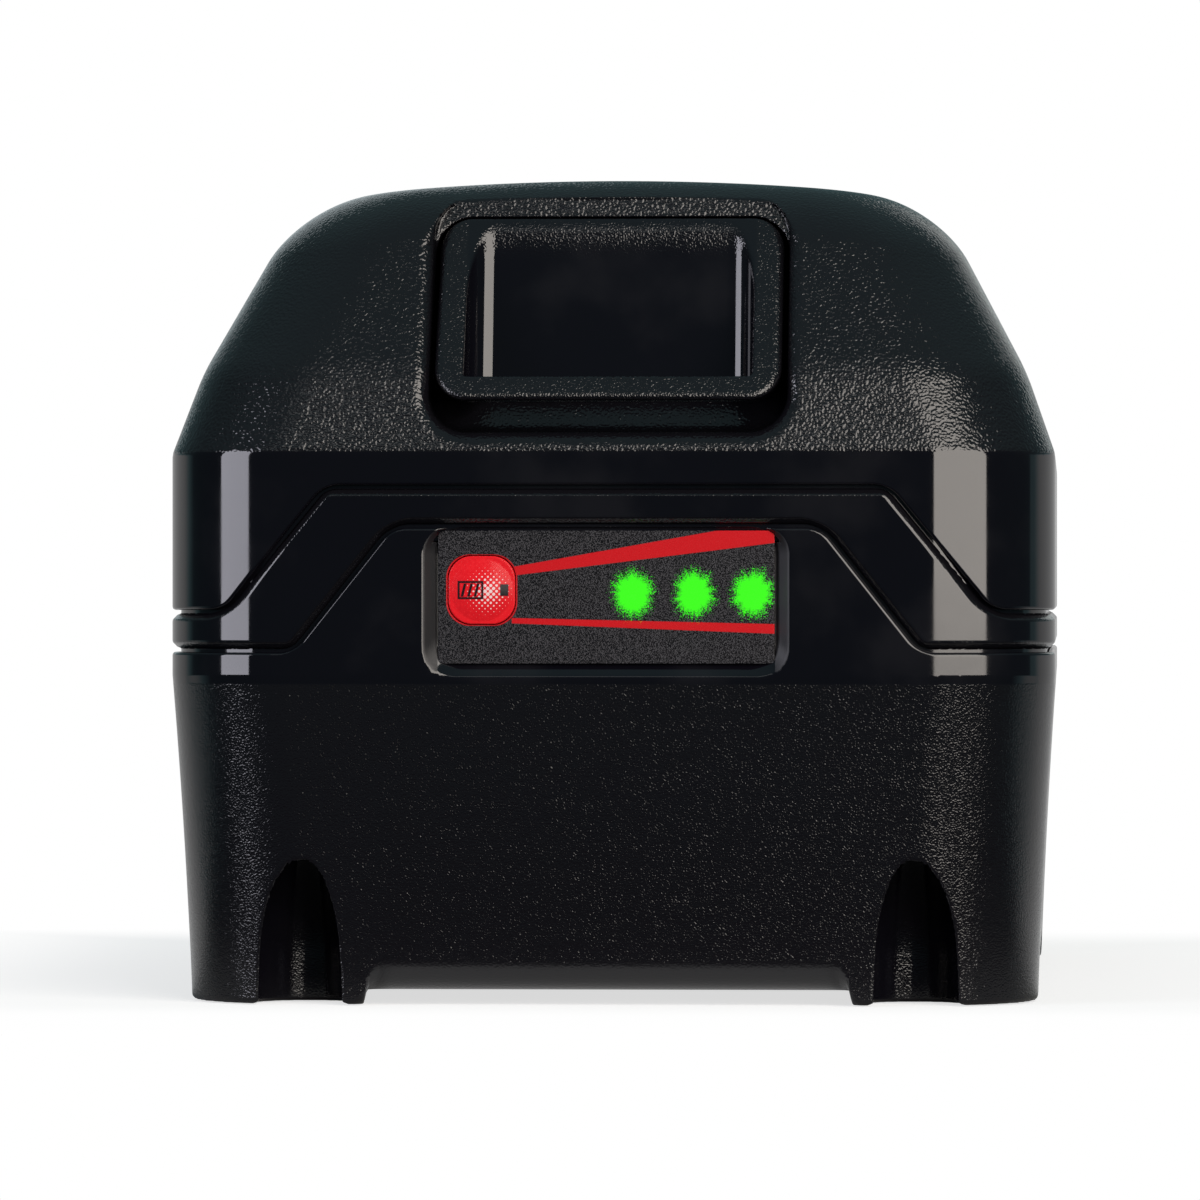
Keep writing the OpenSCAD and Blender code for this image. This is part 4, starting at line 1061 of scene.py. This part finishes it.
FINISHES = {
    "spring_steel": ((0.55, 0.56, 0.58), 0.28, 3.0, 0.004, 1.0),
    "inner_plastic": ((0.02, 0.02, 0.022), 0.5, 1.2, 0.02, 0.0),
    "screw_steel": ((0.42, 0.42, 0.44), 0.35, 1.0, 0.006, 1.0),
    "circuit_board": ((0.01, 0.09, 0.03), 0.4, 2.0, 0.01, 0.0),
    "led_body": ((0.75, 0.74, 0.62), 0.4, 0.8, 0.01, 0.0),
    "ribbon_film": ((0.5, 0.22, 0.04), 0.35, 2.0, 0.01, 0.0),
    "contact_metal": ((0.78, 0.6, 0.32), 0.25, 2.5, 0.004, 1.0),
    "capacitor_can": ((0.04, 0.045, 0.09), 0.35, 2.0, 0.01, 0.0),
    "holder_plastic": ((0.03, 0.03, 0.032), 0.55, 1.5, 0.03, 0.0),
    "card": ((0.45, 0.33, 0.2), 0.8, 0.6, 0.02, 0.0),
    "nickel": ((0.62, 0.6, 0.55), 0.3, 3.0, 0.005, 1.0),
    "copper": ((0.72, 0.33, 0.18), 0.3, 3.0, 0.005, 1.0),
    "cell_wrap": ((0.04, 0.16, 0.3), 0.35, 6.0, 0.01, 0.0),
    "foam": ((0.06, 0.06, 0.065), 0.9, 0.5, 0.08, 0.0),
}


def paint_nodes():
    """Gives every CAD node that still shows the finish of its slot."""
    made = {name: plain(name, *values) for name, values in FINISHES.items()}
    made["light_pipe"] = light_green()
    for entry in frame["record"]["subparts"]:
        mesh = frame["nodes"][entry["node"]].data
        if entry["material_slot"] in made:
            mesh.materials.clear()
            mesh.materials.append(made[entry["material_slot"]])


# Pieces

SEAM_ROWS = 1.2
LIFT_TOP = 62.0
LIFT_FOOT = 8.0
PAST = 0.6
BUTTON_PAST = 0.5
GAUGE_PAST = 0.3
SHELL_TRIANGLES = 190000
BUTTON_TRIANGLES = 110000
KEY_TRIANGLES = 30000
LABEL_TRIANGLES = 40000


def upper_lift(x, y, level):
    fade = np.clip((LIFT_TOP - level) / (LIFT_TOP - UPPER_SEAM[0] - SEAM_ROWS), 0, 1)
    return seam_rise(UPPER_SEAM, x, np.minimum(level - UPPER_SEAM[0], SEAM_ROWS)) * fade * at_front(y)


def lower_lift(x, y, level):
    fade = np.clip((level - LIFT_FOOT) / (LOWER_SEAM[0] - SEAM_ROWS - LIFT_FOOT), 0, 1)
    return seam_rise(LOWER_SEAM, x, np.maximum(level - LOWER_SEAM[0], -SEAM_ROWS)) * fade * at_front(y)


def band_lift(x, y, level):
    low = seam_rise(LOWER_SEAM, x, np.minimum(level - LOWER_SEAM[0], SEAM_ROWS))
    high = seam_rise(UPPER_SEAM, x, np.maximum(level - UPPER_SEAM[0], -SEAM_ROWS))
    start, end = LOWER_SEAM[0] + SEAM_ROWS, UPPER_SEAM[0] - SEAM_ROWS
    return (low + np.clip((level - start) / (end - start), 0, 1) * (high - low)) * at_front(y)


# The grids are runs of a step and an end, finer where edges, seams and thin walls lie

def build_upper():
    seam = UPPER_SEAM[0]
    grid = (
        mirrored(lines(0, 0.4, HALF_W + PAST)),
        lines(FRONT - PAST, 0.35, -52, 0.4, -49, 0.2, -45, 0.45, -28, 0.5, -19, 1.2, 24.5,
              0.4, 26.5, 1.2, 47, 0.4, 54, 0.35, HALF_L + PAST),
        lines(seam - PAST, 0.12, seam + 1.0, 0.4, 66.4, 0.16, 69.6, 0.4, TOP + PAST))
    upper = shape("upper_shell", upper_housing, grid, SHELL_TRIANGLES, upper_lift)
    plastic = moulded("upper_plastic", upper_grain, size=0.24, depth=0.026)
    dress(upper, plastic, "housing", "housing_plastic", "upper_housing")


def build_band():
    low, high = LOWER_SEAM[0], UPPER_SEAM[0]
    grid = (
        mirrored(lines(0, 0.45, 13.5, 0.2, 17.5, 0.35, HALF_W + PAST)),
        lines(FRONT - PAST, 0.14, -56.5, 0.3, -54.5, 0.6, -45, 1.6, 45,
              0.6, 54.5, 0.3, 56.5, 0.14, HALF_L + PAST),
        lines(low - 1.8, 0.3, low, 0.1, low + SEAM_ROWS, 0.3, high - SEAM_ROWS, 0.1, high, 0.3, high + 1.8))
    band = shape("seam_band", middle_band, grid, SHELL_TRIANGLES, band_lift)
    plastic = moulded("band_plastic", band_grain, size=0.2, depth=0.012)
    dress(band, plastic, "housing", "band_plastic", "middle_band")


def build_lower():
    grid = (
        mirrored(lines(0, 0.6, 12.6, 0.18, 16.4, 0.5, 20, 0.25, 32, 0.45, HALF_W + PAST)),
        lines(FRONT - PAST, 0.25, -53, 0.4, -47, 1.4, -37.5, 0.5, -35.5, 1.5, 35.5,
              0.5, 37.5, 1.4, 47, 0.4, 53, 0.3, HALF_L + PAST),
        lines(-PAST, 0.2, 4.2, 0.35, 18, 0.45, 26.8, 0.16, 28.5, 0.12, LOWER_SEAM[0] + PAST))
    lower = shape("lower_shell", lower_housing, grid, SHELL_TRIANGLES, lower_lift)
    plastic = moulded("lower_plastic", lower_grain, size=0.15, depth=0.0132, satin_share=window_satin)
    dress(lower, plastic, "housing", "housing_plastic", "lower_housing")


def build_button():
    grid = (
        mirrored(lines(0, 0.28, BUTTON_HALF + BUTTON_PAST)),
        lines(BUTTON_FRONT - BUTTON_PAST, 0.28, -40, 0.6, -26, 0.35, TONGUE_END + BUTTON_PAST),
        lines(BUTTON_Z - BUTTON_PAST, 0.28, 66, 0.12, BUTTON_TOP + BUTTON_PAST))
    button = shape("thumb_button", release_button, grid, BUTTON_TRIANGLES)
    plastic = moulded("button_plastic", button_grain, size=0.17, depth=0.028)
    dress(button, plastic, "release", "button_plastic", "release_button")


def build_key():
    grid = (
        lines(KEY_LOW[0] - GAUGE_PAST, 0.14, KEY_HIGH[0] + GAUGE_PAST),
        lines(KEY_FRONT - GAUGE_PAST, 0.1, KEY_FRONT + 1.2, 0.2, KEY_BACK + GAUGE_PAST),
        lines(KEY_LOW[2] - GAUGE_PAST, 0.14, KEY_HIGH[2] + GAUGE_PAST))
    key = shape("gauge_key", gauge_key, grid, KEY_TRIANGLES)
    dress(key, key_red(), "gauge_key", "key_plastic", "gauge_button")


def build_label():
    left, right = LABEL_LOW[0], LABEL_HIGH[0]
    grid = (
        lines(left - GAUGE_PAST, 0.1, left + 0.7, 0.2, -7, 0.6, right - 0.7, 0.1, right + GAUGE_PAST),
        lines(LABEL_LOW[1] - 0.1, 0.05, LABEL_HIGH[1] + 0.1),
        lines(LABEL_Z - GAUGE_PAST, 0.1, LABEL_Z + 0.6,
              0.2, LABEL_TOP - 0.6, 0.1, LABEL_TOP + GAUGE_PAST))
    label = shape("gauge_film", gauge_label, grid, LABEL_TRIANGLES)
    dress(label, label_film(), "housing", "label_film", "gauge_label")


def build_springs():
    coils = springs()
    wire = plain("spring_wire", *FINISHES["spring_steel"])
    dress(coils, wire, "housing", "spring_steel", "release_springs")
    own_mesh(coils)


for build in (build_upper, build_band, build_lower, build_button, build_key, build_label, build_springs):
    build()
paint_nodes()


# Stage, lights and camera

MIDDLE = Vector((0, 0, 0.035))
CAMERA_AZIMUTH = 3.0
CAMERA_AWAY = 0.75
CAMERA_LENS = 244.7
CAMERA_SHIFT = (-0.0349, -0.0053)
DIM_TINT = (0.58, 1, 1.06, 1)
FLOOR_R = 0.12
FLOOR_GAP = 0.0001


def softbox(name, azimuth, spread, low, high, tilt, radiance, color):
    """A soft lamp a metre away. Azimuth 0 is the front and grows to the right. The lamp reaches from a low
    to a high elevation as seen from the pack, and stands upright or is tilted toward it."""
    a, e = radians(azimuth), radians((low + high) / 2 if tilt else 0)
    aim = Vector((sin(a) * cos(e), -cos(a) * cos(e), sin(e)))
    lamp = bpy.data.lights.new(name, "AREA")
    lamp.shape = "RECTANGLE"
    lamp.size = 2 * tan(radians(spread / 2))
    lamp.size_y = tan(radians(high) - e) - tan(radians(low) - e)
    lamp.energy = radiance * np.pi * lamp.size * lamp.size_y
    lamp.color = color
    obj = bpy.data.objects.new(name, lamp)
    obj.location = MIDDLE + aim + Vector((0, 0, (tan(radians(high) - e) + tan(radians(low) - e)) / 2))
    obj.rotation_euler = (-aim).to_track_quat("-Z", "Y").to_euler()
    obj.visible_camera = False
    bpy.context.scene.collection.objects.link(obj)


def build_floor():
    """A white disc that takes a soft shadow near the pack, and less of it in front. Polished faces mirror it
    only between the feet and beside the pack."""
    steps = 96
    angles = np.linspace(0, 2 * np.pi, steps, endpoint=False)
    rim = np.stack([np.cos(angles), np.sin(angles), np.zeros(steps)], 1) * FLOOR_R
    wedges = [(0, 1 + i, 1 + (i + 1) % steps) for i in range(steps)]
    mesh = bpy.data.meshes.new("floor")
    mesh.from_pydata([(0, 0, 0)] + rim.tolist(), [], wedges)
    floor = bpy.data.objects.new("floor", mesh)
    floor.location = (0, 0, -FLOOR_GAP)
    bpy.context.scene.collection.objects.link(floor)
    paint = Paint("floor")
    beside = []
    for value, half in ((paint.x, HALF_W), (paint.y, HALF_L)):
        beside.append(paint.math("SUBTRACT", paint.math("ABSOLUTE", value), half))
    away = paint.math("MAXIMUM", beside[0], beside[1])
    front = paint.ramp(paint.y, -75.0, -55.0, 0.1, 1.0)
    pale = paint.math("MULTIPLY", paint.ramp(away, -5.0, 30.0, 0.4, 0.25), front)
    pale = paint.math("MULTIPLY", pale, paint.ramp(away, 12.0, 45.0, 1.0, 0.0))
    path = paint.add("ShaderNodeLightPath")
    paint.set("Base Color", paint.mix(pale, (0, 0, 0, 1), (1, 1, 1, 1)))
    paint.set("Roughness", 0.9)
    paint.set("Specular IOR Level", 0.0)
    paint.set("Emission Color", (1, 1, 1, 1))
    white = paint.math("MULTIPLY_ADD", pale, -0.8, 1.0)
    between_feet = paint.ramp(paint.math("ABSOLUTE", paint.x), 18.5, 21.0, 0.6, 0.0)
    between_feet = paint.math("MULTIPLY", between_feet, paint.ramp(paint.y, -64.0, -60.0))
    beside_pack = paint.ramp(paint.y, -45.0, -20.0, 0.0, 0.6)
    mirrored_light = paint.math("MAXIMUM", between_feet, beside_pack)
    shown = paint.math("MULTIPLY", mirrored_light, path.outputs["Is Glossy Ray"])
    shown = paint.math("MAXIMUM", shown, path.outputs["Is Camera Ray"])
    paint.set("Emission Strength", paint.math("MULTIPLY", white, shown))
    mesh.materials.append(paint.material)


def build_world():
    """A pale wall behind the pack, a screen at its right, pale ground, and faint light from behind and above.
    The camera sees white."""
    world = bpy.data.worlds.new("studio")
    bpy.context.scene.world = world
    world.use_nodes = True
    nodes = Nodes(world.node_tree)
    background = world.node_tree.nodes["Background"]
    right, back, up = nodes.parts(nodes.add("ShaderNodeTexCoord").outputs["Generated"])
    low = nodes.ramp(up, 0.05, 0.24, 1.0, 0.0)
    wall = nodes.math("MULTIPLY", nodes.ramp(back, 0.2, 0.6, 0.0, 0.5), low)
    screen = nodes.math("MULTIPLY", nodes.ramp(back, 0.26, 0.32, 0.0, 0.25), low)
    screen = nodes.math("MULTIPLY", screen, nodes.ramp(right, 0.0, 0.2))
    ground = nodes.ramp(up, -0.14, -0.04, 1.0, 0.0)
    ground = nodes.math("MULTIPLY", nodes.ramp(back, -0.2, 0.3, 0.0, 0.45), ground)
    level = nodes.math("MAXIMUM", nodes.ramp(back, 0.1, 0.8, 0.05, 0.14), nodes.ramp(up, 0.3, 0.9, 0.05, 0.2))
    seen = nodes.add("ShaderNodeLightPath").outputs["Is Camera Ray"]
    for light in (wall, screen, ground, seen):
        level = nodes.math("MAXIMUM", level, light)
    nodes.feed(background.inputs["Strength"], level)
    tint = nodes.mix(nodes.ramp(level, 0.2, 0.5), DIM_TINT, (1, 1, 1, 1))
    nodes.feed(background.inputs["Color"], tint)


def build_camera():
    camera = bpy.data.cameras.new("camera")
    camera.sensor_width = 36
    camera.lens = CAMERA_LENS
    obj = bpy.data.objects.new("camera", camera)
    bpy.context.scene.collection.objects.link(obj)
    a = radians(CAMERA_AZIMUTH)
    back = Vector((sin(a), -cos(a), 0))
    obj.location = MIDDLE + back * CAMERA_AWAY
    obj.rotation_euler = (-back).to_track_quat("-Z", "Y").to_euler()
    camera.shift_x, camera.shift_y = CAMERA_SHIFT
    bpy.context.scene.camera = obj


# Name, azimuth, spread, lowest and highest elevation, whether tilted, radiance, colour
LAMPS = (
    ("right_box", 31, 46, -2, 44, False, 6.4, (1, 0.93, 0.86)),
    ("left_box", -54.5, 27, -2, 28, False, 6.6, (0.9, 0.89, 1)),
    ("top_box", -8, 28, 36.2, 40.6, True, 1.4, (1, 1, 1)),
    ("rear_right_box", 160, 22, 8, 30, True, 0.6, (1, 0.97, 0.94)),
    ("rear_left_box", -163, 22, 8, 30, True, 0.5, (0.94, 0.97, 1)),
)

for lamp in LAMPS:
    softbox(*lamp)
build_floor()
build_world()
build_camera()
bpy.context.scene.view_settings.view_transform = "Standard"
